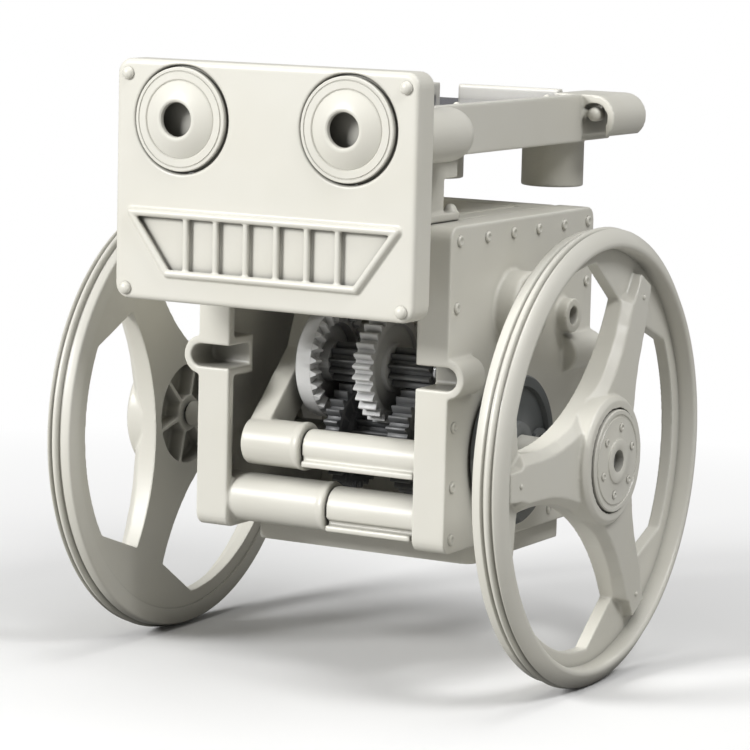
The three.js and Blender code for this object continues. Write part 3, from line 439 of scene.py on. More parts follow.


# In each plastic, the value after the roughness sets how dark its painted crevice shade gets.
MATERIALS = {
    "shell": plastic("ivory_plastic", (0.80, 0.785, 0.715), 0.34, 0.32),
    "gear_white": plastic("white_gear_plastic", (0.93, 0.935, 0.94), 0.32, 0.3, depth=0.008),
    "gear_dark": plastic("dark_gear_plastic", (0.12, 0.124, 0.13), 0.42, 0.7, wear=0.12),
    "disc": plastic("grey_disc_plastic", (0.105, 0.115, 0.12), 0.42, 0.55, wear=0.1),
    "steel": metal("drawn_steel", (0.62, 0.63, 0.64), 0.26, (0.05, 1, 1)),
    "motor_can": metal("plated_steel", (0.58, 0.59, 0.6), 0.3, (1, 0.08, 1)),
    "motor_cap": plastic("black_cap_plastic", (0.02, 0.021, 0.024), 0.45, 0.6, wear=0.1),
    "brass": metal("tinned_brass", (0.7, 0.55, 0.28), 0.3),
    "solar_cell": solar_material("solar_cell_blue"),
    "lead_red": plastic("red_insulation", (0.42, 0.018, 0.012), 0.38, 0.6),
    "lead_black": plastic("black_insulation", (0.012, 0.012, 0.013), 0.38, 0.6),
}

BODY_OF = {name: body for body, names in RECORD["behaviour"]["bodies"].items() for name in names}
SLOT_OF = {row["node"]: row["material_slot"] for row in RECORD["subparts"]}


def show(name, solid, sharp_angle=None):
    """Puts a finished solid in the robot in the place of the CAD node with this name."""
    mesh = solid.mesh.copy()
    mesh.transform(HOME @ Matrix.Diagonal((MILLIMETRE, MILLIMETRE, MILLIMETRE, 1)))
    mesh.materials.clear()
    mesh.materials.append(MATERIALS[SLOT_OF[name]])
    mesh.shade_smooth()
    if sharp_angle:
        mesh.set_sharp_from_angle(angle=math.radians(sharp_angle))
    piece = bpy.data.objects.new(f"{name}_look", mesh)
    mesh.name = piece.name
    bpy.context.scene.collection.objects.link(piece)
    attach(piece, BODY_OF[name])
    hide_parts(name)
    return piece


# ---- Gears ----
to_axle = math.atan2(AXLE["at"][1] - SHAFT["at"][1], AXLE["at"][0] - SHAFT["at"][0])
to_shaft = to_axle + math.pi
half_pitch = math.pi / TEETH["gear"]


def half_tooth(teeth, radius):
    """Half the angle that an involute tooth covers at a radius, less a little for backlash."""
    pitch = MODULE * teeth / 2
    base = pitch * math.cos(PRESSURE)
    angle = math.acos(min(1, base / max(radius, base)))
    return math.pi / (2 * teeth) + math.tan(PRESSURE) - PRESSURE - math.tan(angle) + angle - 0.07 / pitch


def gear_outline(teeth, phase):
    """A stub-toothed spur gear outline with one tooth centred on the phase."""
    pitch = MODULE * teeth / 2
    root, tip = pitch - 1.05 * MODULE, pitch + 0.8 * MODULE
    flank = [root + (tip - root) * share for share in (0, 0.12, 0.35, 0.6, 0.82, 1)]
    spread = {radius: half_tooth(teeth, radius) for radius in flank}
    spread[tip] -= 0.04 / tip
    points = []
    for tooth in range(teeth):
        middle = phase + 2 * math.pi * tooth / teeth
        points += [(r, middle - spread[r]) for r in flank]
        points += [(r, middle + spread[r]) for r in reversed(flank)]
    return [(r * math.cos(a), r * math.sin(a)) for r, a in points]


def spur(teeth, span, at, phase):
    """A spur gear that turns about the X axis through at."""
    return plate("x", gear_outline(teeth, phase), span).moved(0, *at)


def face_grooves(span, at, hub, rim, depth):
    """The shallow groove in each face of a gear, between hub and rim, with sloping walls."""
    grooves = []
    for end, inwards in ((span[0], 1), (span[1], -1)):
        outside, floor = end - inwards, end + inwards * depth
        profile = [(outside, hub - 0.3), (outside, rim + 0.3), (floor, rim - 0.15), (floor, hub + 0.15)]
        grooves.append(turned("x", profile, at, 96))
    return grooves


def bore(radius, at, span=(-30, 30)):
    return rod("x", radius, span, at, 48)


def show_crown_gear():
    at = SHAFT["at"]
    back, root, outer, inner = CROWN["back"], CROWN["root"], CROWN["outer"], CROWN["inner"]
    body = turned(
        "x",
        [
            (back - 1.1, 0),
            (back - 1.1, 2.8),
            (back - 0.9, 3),
            (back, 3),
            (back, outer - 0.4),
            (back + 0.4, outer),
            (root, outer),
            (root, inner - 0.9),
            (back + 1.4, inner - 1.1),
            (back + 1.4, 3.8),
            (root - 0.1, 3.5),
            (root - 0.1, 0),
        ],
        at,
        156,
    )
    profile = [(-0.72, root - 0.1), (-0.16, root + CROWN["tooth"]), (0.16, root + CROWN["tooth"]), (0.72, root - 0.1)]
    tooth = plate("z", [(x, y) for y, x in profile], (inner, outer - 0.05))
    teeth = [
        tooth.spun(360 * (n + 0.5) / TEETH["crown"] - 90).moved(0, *at) for n in range(TEETH["crown"])
    ]
    show("crown_gear", eased(cut(join(body, *teeth), bore(SHAFT["radius"] + PLAY, at)), 0.06, 1), 40)


def show_gear_train():
    shaft, axle = SHAFT["at"], AXLE["at"]
    shaft_bore = bore(SHAFT["radius"] + PLAY, shaft)
    first = spur(TEETH["pinion"], (CROWN["root"] + GAP, -0.6), shaft, to_axle)
    show("crown_pinion", eased(cut(first, shaft_bore), 0.07), 40)

    wheel = cut(spur(TEETH["gear"], IDLER["gear"], axle, to_shaft + half_pitch), *face_grooves(IDLER["gear"], axle, 4.6, 8, 0.6))
    idler = cut(join(wheel, spur(TEETH["pinion"], IDLER["pinion"], axle, to_shaft)), bore(AXLE["radius"] + PLAY, axle))
    show("idler_gear", eased(idler, 0.07), 40)

    second = spur(TEETH["gear"], SECOND_GEAR, shaft, to_axle + half_pitch)
    second = cut(second, *face_grooves(SECOND_GEAR, shaft, 4.4, 8, 0.8), shaft_bore)
    show("second_gear", eased(second, 0.08), 40)
    pinion = cut(spur(TEETH["pinion"], SECOND_PINION, shaft, to_axle), shaft_bore)
    show("second_pinion", eased(pinion, 0.07), 40)

    output = spur(TEETH["gear"], OUTPUT_GEAR, axle, to_shaft + half_pitch)
    output = cut(output, *face_grooves(OUTPUT_GEAR, axle, 4.4, 8, 0.9))
    hub = rod("x", 3.4, (OUTPUT_GEAR[1] - 1, OUTPUT_GEAR[1] + 3), axle)
    show("output_gear", eased(cut(join(output, hub), bore(AXLE["radius"] + GAP, axle)), 0.08), 40)


def show_pin(name, axis, radius, span, centre, chamfer=0.25):
    """A plain round pin with chamfered ends."""
    low, high = span
    profile = [(low, 0), (low, radius - chamfer), (low + chamfer, radius), (high - chamfer, radius)]
    profile += [(high, radius - chamfer), (high, 0)]
    show(name, turned(axis, profile, centre, 64), 30)


def show_washer(name, x, at, hole):
    profile = [(x, hole), (x, 2.5), (x + 0.1, 2.6), (x + 0.6, 2.6), (x + 0.7, 2.5), (x + 0.7, hole)]
    show(name, turned("x", profile, at, 64), 30)


# ---- Body shells ----


def clip_spans():
    front, back = SHELL["front"], SHELL["back"]
    return [(front, front + CLIP["length"]), (back - CLIP["rear"], back)]


def clip_body(span):
    """The outside of a U-shaped clip."""
    half = CLIP["slot"] + CLIP["wall"]
    barrel = rod("y", half, span, (CLIP["centre"], CLIP["z"]), 72)
    return barrel + block((SHELL["edge"], CLIP["centre"]), span, (CLIP["z"] - half, CLIP["z"] + half))


def clip_slot(span):
    """The slot in a clip. It opens at the shell's end and stops at a thin wall inside."""
    start, end = span
    if start == SHELL["front"]:
        start, end = start - 1, end - CLIP["end"]
    else:
        start, end = start + CLIP["end"], end + 1
    z, slot = CLIP["z"], CLIP["slot"]
    barrel = rod("y", slot, (start, end), (CLIP["centre"], z), 72)
    return barrel + block((SHELL["edge"] - 1, CLIP["centre"]), (start, end), (z - slot, z + slot))


def boss():
    """The large boss on a side plate: a rim, a ring-shaped hollow and a bored middle."""
    face = SHELL["out"] + BOSS["height"]
    radius = BOSS["radius"]
    profile = [
        (SHELL["in"] + 0.2, 0),
        (SHELL["in"] + 0.2, radius),
        (face - 0.5, radius),
        (face, radius - 0.4),
        (face, radius - 1.1),
        (face - 3.2, radius - 1.2),
        (face - 3.2, 4.6),
        (face - 0.4, 4.5),
        (face - 0.4, 3.6),
        (SHELL["out"] - 0.6, 3.4),
        (SHELL["out"] - 0.6, 0),
    ]
    return turned("x", profile, BOSS["at"])


def plain_shell():
    """What both shells share, drawn on the +X side."""
    front, back, bottom, top = (SHELL[key] for key in ("front", "back", "bottom", "top"))
    outline = rounded(front, bottom, back, top, SHELL_CORNER)
    tray = plate("x", outline, (SHELL["edge"], SHELL["out"]))
    lip = SHELL_LIP
    pocket = plate("x", rounded(front + lip, bottom + lip, back - lip, top - lip, 1.3), (SHELL["edge"] - 1, SHELL["in"]))
    rear = rod("x", REAR_BOSS["radius"], (SHELL["in"], SHELL["out"] + REAR_BOSS["height"]), REAR_BOSS["at"])
    bearing = rod("x", 4, (SHELL["edge"] - 1, SHELL["in"] + GAP), AXLE["at"])
    boss_seat = rod("x", BOSS["radius"] - 0.5, (SHELL["out"] - 0.6, SHELL["out"] + 5), BOSS["at"])
    body = cut(tray, pocket, boss_seat)
    body = join(body, *[clip_body(span) for span in clip_spans()], boss(), rear, bearing)
    return cut(
        body,
        *[clip_slot(span) for span in clip_spans()],
        rod("x", REAR_BOSS["bore"], (SHELL["edge"], SHELL["out"] + 5), REAR_BOSS["at"], 48),
        rod("x", AXLE["radius"] + PLAY, (0, 40), AXLE["at"], 48),
    )


def stud(x, at, radius=0.95, height=0.5):
    """A small round stud on the +X face, with a dimple in its top."""
    profile = [
        (x - 0.5, 0),
        (x - 0.5, radius),
        (x + height * 0.6, radius),
        (x + height * 0.95, radius * 0.82),
        (x + height, radius * 0.6),
        (x + height * 0.45, radius * 0.42),
        (x + height * 0.35, 0),
    ]
    return turned("x", profile, at, 32)


def studs():
    """Studs along the top, front and rear edges of a side plate's outer face."""
    top = [(y, 79.7) for y in (-18.4, -8, 2, 12, 22.3, 32.3)]
    front = [(-18.9, z) for z in (68, 47, 36.4, 27.1)]
    rear = [(32.3, z) for z in (68.5, 47, 36.4, 27.1)]
    bottom = [(y, 27.1) for y in (-5.6, 6.6, 19.6)]
    return [stud(SHELL["out"], at) for at in top + front + rear + bottom]


def tie_rod(at, radius, join_at):
    """A rod with a groove and a flat lip along its lower front."""
    y, z = at
    core = rod("x", radius - 0.35, (join_at + PLAY, SHELL["in"] + GAP), at, 72)
    crown = rod("x", radius, (join_at + PLAY, SHELL["in"] + GAP), at, 72)
    groove = block(
        (join_at - 1, SHELL["edge"] - 0.6), (y - radius - 1, y - radius * 0.35), (z - radius * 0.66, z - radius * 0.46)
    )
    lip = block((join_at + 0.5, SHELL["edge"] - 0.6), (y - radius - 0.5, y), (z - radius + 0.1, z - radius + 1.2))
    return join(crown - groove, core, lip)


def show_right_shell():
    shaft_boss = rod("x", 3.2, (18.4, SHELL["in"] + GAP), SHAFT["at"])
    rods = [tie_rod(at, TIE["rod"], TIE["join"]) for at in TIES.values()]
    pins = [rod("x", TIE["pin"], (TIE["join"] - TIE["depth"], TIE["join"] + 1), at) for at in TIES.values()]
    mid = tie_rod(MID_TIE["at"], MID_TIE["rod"], MID_TIE["join"])
    mid_pin = rod("x", TIE["pin"], (MID_TIE["left"] + 1.5, MID_TIE["join"] + 1), MID_TIE["at"])
    shell = join(plain_shell(), *rods, *pins, mid, mid_pin, shaft_boss)
    shell = cut(shell, bore(SHAFT["radius"] + GAP, SHAFT["at"], (10, SHAFT["span"][1] + PLAY)))
    shell = cut(shell, *[bore(TIE["screw"], at, (-14, TIE["join"] + 2)) for at in TIES.values()])
    show("right_shell", beside(moulded(shell, 0.28), *studs()))


def sleeve(at, radius, span):
    """A tube end with a slightly thicker, rounded rim."""
    low, high = span
    profile = [(low, 0), (low, radius), (high - 1.4, radius), (high - 1.1, radius + 0.15), (high - 0.3, radius + 0.15)]
    profile += [(high, radius - 0.15), (high, 0)]
    return turned("x", profile, at, 72)


def show_left_shell():
    wall = -SHELL["in"] - GAP
    sleeves = [sleeve(at, TIE["sleeve"] - 0.15, (wall, TIE["join"])) for at in TIES.values()]
    stand = rod("x", 2.6, (wall, BRACKET["from"] - GAP), BRACKET["lug"])
    shell = join(plain_shell().mirrored(), *sleeves, stand)
    for at in TIES.values():
        shell = cut(
            shell,
            bore(TIE["bore"], at, (TIE["join"] - TIE["depth"] - PLAY, TIE["join"] + 1)),
            bore(TIE["screw"] + PLAY, at, (-30, TIE["join"])),
            bore(2.4, at, (-30, -SHELL["out"] + 1.3)),
        )
    shell = cut(shell, bore(0.8, BRACKET["lug"], (-22, BRACKET["from"])))
    show("left_shell", beside(moulded(shell, 0.28), *[one.mirrored() for one in studs()]))


def cross_head(x, at, radius, reach):
    """A pan-headed screw's head on the -X side, with a cross recess."""
    profile = [(x, 0), (x, radius * 0.55), (x + 0.2, radius * 0.85), (x + 0.55, radius), (x + 1.25, radius), (x + 1.25, 0)]
    head = turned("x", profile, at, 64)
    y, z = at
    slots = [
        block((x - 1, x + 0.7), (y - reach, y + reach), (z - 0.25, z + 0.25)),
        block((x - 1, x + 0.7), (y - 0.25, y + 0.25), (z - reach, z + reach)),
    ]
    return cut(head, *slots)


def show_tie_screws():
    for name, at in TIES.items():
        head = cross_head(-SHELL["out"] - 0.1, at, 2.2, 1.4)
        shank = rod("x", 0.75, (-SHELL["out"] + 1, TIE["join"] - 2), at, 32)
        show(f"{name}_screw", head + shank, 30)


def show_gear_bracket():
    """The arm that carries the left end of the gear shaft, with the sleeve for the middle rod."""
    (mid_y, mid_z), (lug_y, lug_z) = MID_TIE["at"], BRACKET["lug"]
    shaft_y, shaft_z = SHAFT["at"]
    outline = [(mid_y - 2.2, mid_z + 3), (mid_y + 4.2, mid_z)]
    outline += arc((shaft_y, shaft_z), BRACKET["arm"], -23, 52)
    outline += arc((lug_y, lug_z), BRACKET["eye"], 0, 180)
    outline.append((shaft_y - BRACKET["arm"], shaft_z + 2.4))
    arm = plate("x", outline, (BRACKET["from"], BRACKET["to"]))
    pad = rod("x", 3.4, (BRACKET["from"], BRACKET["to"] + 0.6), SHAFT["at"])
    tube = sleeve(MID_TIE["at"], MID_TIE["sleeve"] - 0.15, (MID_TIE["left"], MID_TIE["join"]))
    made = cut(
        join(arm, pad, tube),
        bore(TIE["bore"], MID_TIE["at"], (MID_TIE["left"] + 1, MID_TIE["join"] + 1)),
        bore(SHAFT["radius"] + GAP, SHAFT["at"], (-20, 0)),
        bore(0.95, BRACKET["lug"], (-20, 0)),
    )
    show("gear_bracket", moulded(made, 0.22))
    x = BRACKET["to"] + GAP
    head = cross_head(x, BRACKET["lug"], BRACKET["screw"], 1.1).spun(180, "Z", (x + 0.625, lug_y, lug_z))
    shank = rod("x", 0.7, (-20, x + 1), BRACKET["lug"], 32)
    show("bracket_screw", head + shank, 30)


def show_covers():
    inside = SHELL["edge"] - PLAY
    top = plate("z", rounded(-inside, -19.6, inside, 33, 1.2), (SHELL["top"] - 1.8, SHELL["top"] - 0.1))
    ribs = [
        block((-inside + 2, inside - 2), (y - 1, y + 1), (z + TIE["sleeve"] + GAP, SHELL["top"] - 1))
        for y, z in (TIES["front_upper"], TIES["rear_upper"])
    ]
    panel_line = cut(
        plate("z", rounded(-14.6, -6, 14.6, 27, 2), (SHELL["top"] - 0.5, SHELL["top"])),
        plate("z", rounded(-13.8, -5.2, 13.8, 26.2, 1.4), (SHELL["top"] - 0.6, SHELL["top"] + 1)),
    )
    wire_hole = rod("z", WIRE["hole"], (SHELL["top"] - 3, SHELL["top"] + 1), (0, WIRE["y"]), 48)
    show("top_cover", moulded(cut(join(top, *ribs), panel_line, wire_hole), 0.22, 2))

    bottom = SHELL["bottom"]
    slab = plate("z", rounded(-22.6, -5, 22.6, 31, 2), (20, bottom - GAP))
    upper = block((-18.5, 18.5), (-3.6, 24.6), (bottom - 1, bottom + 1.4))
    tray = plate("z", rounded(-16.5, -1.6, 16.5, 22.6, 1), (bottom - 2.6, bottom + 3))
    foot_line = cut(
        plate("z", rounded(-19.4, -2, 19.4, 28, 2), (19, 20.4)),
        plate("z", rounded(-18.6, -1.2, 18.6, 27.2, 1.4), (18, 21)),
    )
    show("bottom_cover", moulded(cut(slab + upper, tray, foot_line), 0.25, 2))


# ---- Motor ----


def show_motor():
    x, radius, front = MOTOR["x"], MOTOR["radius"], MOTOR["front"]
    z = SHAFT["at"][1]
    at = (x, z)
    back = front + MOTOR["length"]
    screws = [(x + side * 6.2, z) for side in (-1, 1)]
    wall_span = (BULKHEAD["front"], BULKHEAD["back"])
    through = (wall_span[0] - 1, wall_span[1] + 1)
    half = BULKHEAD["half"]
    wall = plate("y", rounded(-half, BULKHEAD["bottom"], half, BULKHEAD["top"], 1), wall_span)
    rib = block((-half + 1, half - 1), (wall_span[0] - 0.01, wall_span[0] + 1), (38, 39.2))
    holes = [rod("y", 0.95, through, screw, 32) for screw in screws]
    holes += [rod("y", 3.4, through, at), rod("y", CABLE_HOLE["radius"], through, (CABLE_HOLE["x"], CABLE_HOLE["z"]))]
    show("bulkhead", moulded(cut(wall + rib, *holes), 0.28))

    can = turned(
        "y",
        [
            (front - 1.6, 0),
            (front - 1.6, 2.7),
            (front - 1.3, 3),
            (front, 3),
            (front, radius - 1.6),
            (front + 0.5, radius - 0.5),
            (front + 1.6, radius),
            (back - 0.1, radius),
            (back - 0.1, 0),
        ],
        at,
    )
    flats = [block((x - 20, x + 20), (front + 1.5, back + 1), (z + side * 8.2, z + side * 20)) for side in (-1, 1)]
    tapped = [rod("y", 0.7, (front - 1, front + 4.2), screw, 32) for screw in screws]
    slots = [block((x + side * 7, x + side * 12), (front + 5, front + 9), (z - 2, z + 2)) for side in (-1, 1)]
    slots = [slot - rod("y", radius - 0.5, (front, back), at) for slot in slots]
    can = cut(can, *flats, *tapped, *slots, rod("y", 0.85, (front - 3, front + 8), at, 32))
    show("motor_can", eased(can, 0.2, 3), 40)

    cap = turned(
        "y",
        [(back, 0), (back, 9.2), (back + 1.5, 9.2), (back + 1.8, 8.9), (back + 1.8, 3.2), (back + 2.8, 3.2), (back + 3, 2.9), (back + 3, 0)],
        at,
        96,
    )
    trims = [block((x - 20, x + 20), (back - 1, back + 4), (z + side * 8, z + side * 20)) for side in (-1, 1)]
    vents = [block((x + side * 5.4 - 1.6, x + side * 5.4 + 1.6), (back + 1.1, back + 3), (z - 5, z - 1.5)) for side in (-1, 1)]
    show("motor_end_cap", eased(cut(cap, *trims, *vents), 0.15), 40)

    for side, name in ((-1, "left"), (1, "right")):
        tab_x = x + side * 5.4
        tab = block((tab_x - 1, tab_x + 1), (back + 1.9, back + 4.3), (z + 3.2, z + 3.6))
        eyelet = rod("z", 0.45, (z + 3, z + 4), (tab_x, back + 3.5), 24)
        show(f"motor_tab_{name}", eased(tab - eyelet, 0.08), 40)
        screw_at = screws[0 if side < 0 else 1]
        head = [(BULKHEAD["front"] - 1.1, 0), (BULKHEAD["front"] - 1.1, 1), (BULKHEAD["front"] - 0.7, 1.5)]
        head += [(BULKHEAD["front"] - 0.3, 1.7), (BULKHEAD["front"] - GAP, 1.7), (BULKHEAD["front"] - GAP, 0)]
        dome = turned("y", head, screw_at, 48)
        slot = block((screw_at[0] - 1.3, screw_at[0] + 1.3), (9, BULKHEAD["front"] - 0.6), (z - 0.2, z + 0.2))
        shank = rod("y", 0.6, (BULKHEAD["front"] - 0.5, front + 3.6), screw_at, 32)
        show(f"motor_screw_{name}", (dome - slot) + shank, 30)

    pinion_span = (SHAFT["at"][0] + 8.2, SHAFT["at"][0] + 11.4)
    show_pin("motor_shaft", "y", 0.75, (pinion_span[0] + 0.1, front + 7), at, 0.15)
    teeth = plate("y", gear_outline(TEETH["motor"], math.pi), pinion_span).moved(x, 0, z)
    show("motor_pinion", eased(teeth - rod("y", 0.8, (0, 20), at, 32), 0.06), 40)


# ---- Wheels, discs and axle ----


def rim():
    """The wheel's rim: a tread of two bands with a bead between them, and a deep ring beside the web."""
    inner, outer, ring, radius = WHEEL["inner"], WHEEL["outer"], WHEEL["ring"], WHEEL["radius"]
    tread = [(0, 1.1), (0.15, 0.8), (0.4, 0.65), (1.7, 0.5), (1.85, 0.6), (2.1, 1), (2.35, 1)]
    tread += [(2.55, 0.4), (2.75, 0.1), (3.05, 0), (3.35, 0.1), (3.55, 0.4), (3.75, 0.85), (3.95, 0.85)]
    tread += [(4.15, 0.4), (4.35, 0.25), (4.6, 0.4), (outer - inner, 2.5)]
    profile = [(inner, ring - 0.2)]
    profile += [(inner + along, radius - drop) for along, drop in tread]
    profile += [(outer, ring + 0.5), (outer - 0.15, ring + 0.2), (outer - 0.5, ring)]
    profile.append((inner + WHEEL["web"] - 0.4, ring - 0.2))
    return turned("x", profile, (0, 0), 240)


def hub_profile():
    """The web inside the rim, and the hub with a seat for its cap."""
    hub, web, end = WHEEL["hub"], WHEEL["inner"] + WHEEL["web"], WHEEL["hub_end"]
    seat = 9.35
    return [
        (WHEEL["inner"] + 0.4, 0),
        (WHEEL["inner"] + 0.4, WHEEL["ring"] + 0.6),
        (web, WHEEL["ring"] + 0.6),
        (web, hub + 0.8),
        (web + 0.8, hub),
        (end - 0.7, hub),
        (end, hub - 0.8),
        (end, seat),
        (end - 0.9, seat),
        (end - 0.9, 0),
    ]


def opening_outline():
    """A wide opening between two spokes: the rim's arc outside, a bowl inside, and straight corners."""
    bowl = {"centre": 49.8, "radius": 38.3, "sweep": 35.4}
    outer_arc = arc((0, 0), 34.6, -30.4, 30.4, 36)
    inner_arc = arc((bowl["centre"], 0), bowl["radius"], 180 - bowl["sweep"], 180 + bowl["sweep"], 36)
    return outer_arc + inner_arc


def spoke_rib():
    """The raised rib along a spoke. Its flanks reach the openings, and it sinks towards the rim."""
    tip = WHEEL["ring"] - 2.6
    reach = [(tip, 2.2, 3), (31, 2.4, 3.4), (28.5, 2.6, 5.6), (24, 2.9, 5.6), (20, 3.3, 6.2)]
    reach += [(17, 3.9, 6.8), (14, 4.8, 7.8), (11, 5.8, 8.9), (8, 6.6, 9.6), (5, 7, 10)]
    outline = [(r, half) for r, half, _ in reach] + [(r, -half) for r, half, _ in reversed(reach)]
    foot = [(r, half) for r, _, half in reach] + [(r, -half) for r, _, half in reversed(reach)]
    low, high = WHEEL["inner"] + WHEEL["web"] - 0.3, WHEEL["outer"] - 0.2
    plan = loft("x", [(low, foot), (high + 0.1, outline)])
    return plan & plate("z", [(low, 3), (high, 3), (high, 13), (high - 1.1, tip), (low, tip)], (-14, 14))


def hub_pocket():
    """The hollow in the hub's inner side, crossed by thin ribs."""
    inner, radius, depth = WHEEL["inner"], HUB_POCKET["radius"], HUB_POCKET["depth"]
    span = (inner - 1, inner + depth)
    hollow = rod("x", radius, span, (0, 0), 96) - rod("x", HUB_POCKET["boss"], (inner - 2, inner + depth + 1), (0, 0))
    half = HUB_POCKET["rib"] / 2
    wall = block((inner + 0.6, inner + depth + 1), (-radius - 1, radius + 1), (-half, half))
    return cut(hollow, *[wall.spun(360 * n / HUB_POCKET["ribs"] + 15) for n in range(HUB_POCKET["ribs"] // 2)])


def wheel(spoke_angle):
    """One wheel on the +X side, with three spokes between wide openings."""
    disc = turned("x", hub_profile(), (0, 0), 200)
    gap = plate("x", opening_outline(), (WHEEL["inner"] - 1, WHEEL["hub_end"] + 1))
    turns = [spoke_angle + 120 * n for n in range(3)]
    ribs = join(*[spoke_rib().spun(angle) for angle in turns])
    made = cut(join(disc, ribs), *[gap.spun(angle + 60) for angle in turns], hub_pocket())
    soft = moulded(made - bore(AXLE["radius"] + GAP, (0, 0), (30, 60)), 0.24, 2)
    mark = bead((WHEEL["outer"] - 1.4, 31.4, 0), (WHEEL["outer"] - 1.2, 31.4, 0), 0.5)
    return beside(rim(), soft, *[mark.spun(angle) for angle in turns]).moved(0, *AXLE["at"])


def hub_cap():
    """The round cap in the hub: a rim line, six small dimpled studs and a collar round the bore."""
    end = WHEEL["hub_end"]
    profile = [
        (end - 0.8, 2),
        (end - 0.8, 9.1),
        (end + 0.3, 9.1),
        (end + 0.5, 8.9),
        (end + 0.5, 8.3),
        (end + 0.3, 8.15),
        (end + 0.3, 7.85),
        (end + 0.5, 7.7),
        (end + 0.5, 4.3),
        (end + 0.6, 4),
        (end + 0.8, 3.9),
        (end + 0.9, 3.7),
        (end + 0.9, 2.3),
        (end + 0.75, 2),
    ]
    plate_at = turned("x", profile, AXLE["at"])
    y, z = AXLE["at"]
    dots = []
    for n in range(6):
        angle = math.radians(60 * n + 20)
        dots.append(stud(end + 0.5, (y + 6 * math.cos(angle), z + 6 * math.sin(angle)), 0.7, 0.35))
    return beside(plate_at, *dots)


def drive_disc():
    """The grey disc on the axle beside the body: a raised rim and hub, and a hole for a crank pin."""
    near, far, radius = DISC["from"], DISC["to"], DISC["radius"]
    profile = [
        (near, 1.6),
        (near, radius - 0.3),
        (near + 0.3, radius),
        (far - 0.3, radius),
        (far, radius - 0.3),
        (far, radius - 2),
        (far - 0.9, radius - 2.3),
        (far - 0.9, 5.2),
        (far, 4.9),
        (far, 1.6),
    ]
    disc = turned("x", profile, AXLE["at"])
    y, z = AXLE["at"]
    pad = rod("x", 2.9, (near + 1, far - 0.2), (y + 8.6, z), 48)
    return eased(cut(disc + pad, rod("x", 1.7, (near - 1, far + 1), (y + 8.6, z), 48)), 0.1), 40


def show_running_gear():
    show_pin("axle", "x", AXLE["radius"], (-AXLE["end"], AXLE["end"]), AXLE["at"], 0.3)
    show_washer("shaft_washer", SECOND_PINION[1] + 0.2, SHAFT["at"], SHAFT["radius"] + PLAY)
    show_washer("idler_washer", IDLER["pinion"][1] + 0.4, AXLE["at"], AXLE["radius"] + PLAY)
    show_pin("gear_shaft", "x", SHAFT["radius"], SHAFT["span"], SHAFT["at"])
    low, high = DISC["to"] + GAP, WHEEL["inner"] - GAP
    tube = [(low, AXLE["radius"] + GAP), (low, AXLE["sleeve"] + 0.5), (high - 0.2, AXLE["sleeve"]), (high, AXLE["sleeve"] - 0.2)]
    tube += [(high, AXLE["radius"] + GAP)]
    disc, disc_angle = drive_disc()
    for side, angle in (("right", 61), ("left", 3.4)):
        parts = {
            "wheel": (wheel(angle), 38),
            "hub_cap": (hub_cap(), 35),
            "drive_disc": (disc, disc_angle),
            "axle_sleeve": (turned("x", tube, AXLE["at"]), 35),
        }
        for name, (made, sharp) in parts.items():
            show(f"{side}_{name}", made if side == "right" else made.mirrored(), sharp)


# ---- Head ----


def mouth_corners():
    top, bottom = MOUTH["top"] - 0.75, MOUTH["bottom"] + 0.75
    wide, narrow = MOUTH["top_half"] - 1.1, MOUTH["bottom_half"] - 0.4
    return [(-narrow, bottom), (narrow, bottom), (wide, top), (-wide, top)]


def show_face_plate():
    half, bottom, top, front, back = (FACE[key] for key in ("half", "bottom", "top", "front", "back"))
    ease, steps = 0.9, 5
    sections = []
    for step in range(steps + 1):
        angle = math.radians(90 * step / steps)
        inset = ease * (1 - math.sin(angle))
        outline = rounded(-half + inset, bottom + inset, half - inset, top - inset, FACE["corner"] - inset * 0.9)
        sections.append((front + ease * (1 - math.cos(angle)), outline))
    sections.append((back, sections[-1][1]))
    hollow = plate("y", rounded(-half + 1.6, bottom + 1.6, half - 1.6, top - 1.6, 1.2), (front + FACE["wall"], back + 1))
    body = loft("y", sections) - hollow

    corners = mouth_corners()
    sunk = plate("y", corners, (front - 3, front + 0.7))
    ridges = [
        bead((x0, front - 0.25, z0), (x1, front - 0.25, z1), 0.68)
        for (x0, z0), (x1, z1) in zip(corners, corners[1:] + corners[:1])
    ]
    bars = []
    for n in range(MOUTH["bars"]):
        x = (n - (MOUTH["bars"] - 1) / 2) * MOUTH["pitch"]
        bars.append(bead((x, front + 0.05, corners[0][1]), (x, front + 0.05, corners[2][1]), 0.62))

    holes, pegs = [], []
    eye_hole = [(front - 2, 0), (front - 2, EYE["radius"] + 0.6), (front, EYE["radius"] + 0.6)]
    eye_hole += [(front + 0.4, EYE["radius"] + 0.25), (front + 4, EYE["radius"] + 0.25), (front + 4, 0)]
    for side in (-1, 1):
        holes.append(turned("y", eye_hole, (side * EYE["x"], EYE["z"])))
        peg_at = (side * PEG["x"], PEG["z"])
        pegs += [
            rod("y", PEG["socket"] - 0.6, (front + 2.6, PANEL["front"] - GAP), peg_at),
            rod("y", PEG["radius"], (front + 2.7, PEG["to"]), peg_at),
            block((peg_at[0] - 1, peg_at[0] + 1), (front + 2.6, back - 0.4), (PEG["z"], top - 1)),
            block((side * 27, side * 29), (front + 2.6, back - 0.4), (PEG["z"] - 1, PEG["z"] + 1)),
        ]
    pins = [rod("y", 0.8, (front - 1, front + 4), at, 32) for at in rivet_places()]
    made = join(body - sunk, *ridges, *bars, *pegs)
    show("face_plate", moulded(cut(made, *holes, *pins), 0.2, 2))


def rivet_places():
    return [
        (side * (FACE["half"] - 2.4), z) for side in (-1, 1) for z in (FACE["bottom"] + 1.9, FACE["top"] - 2.6)
    ]


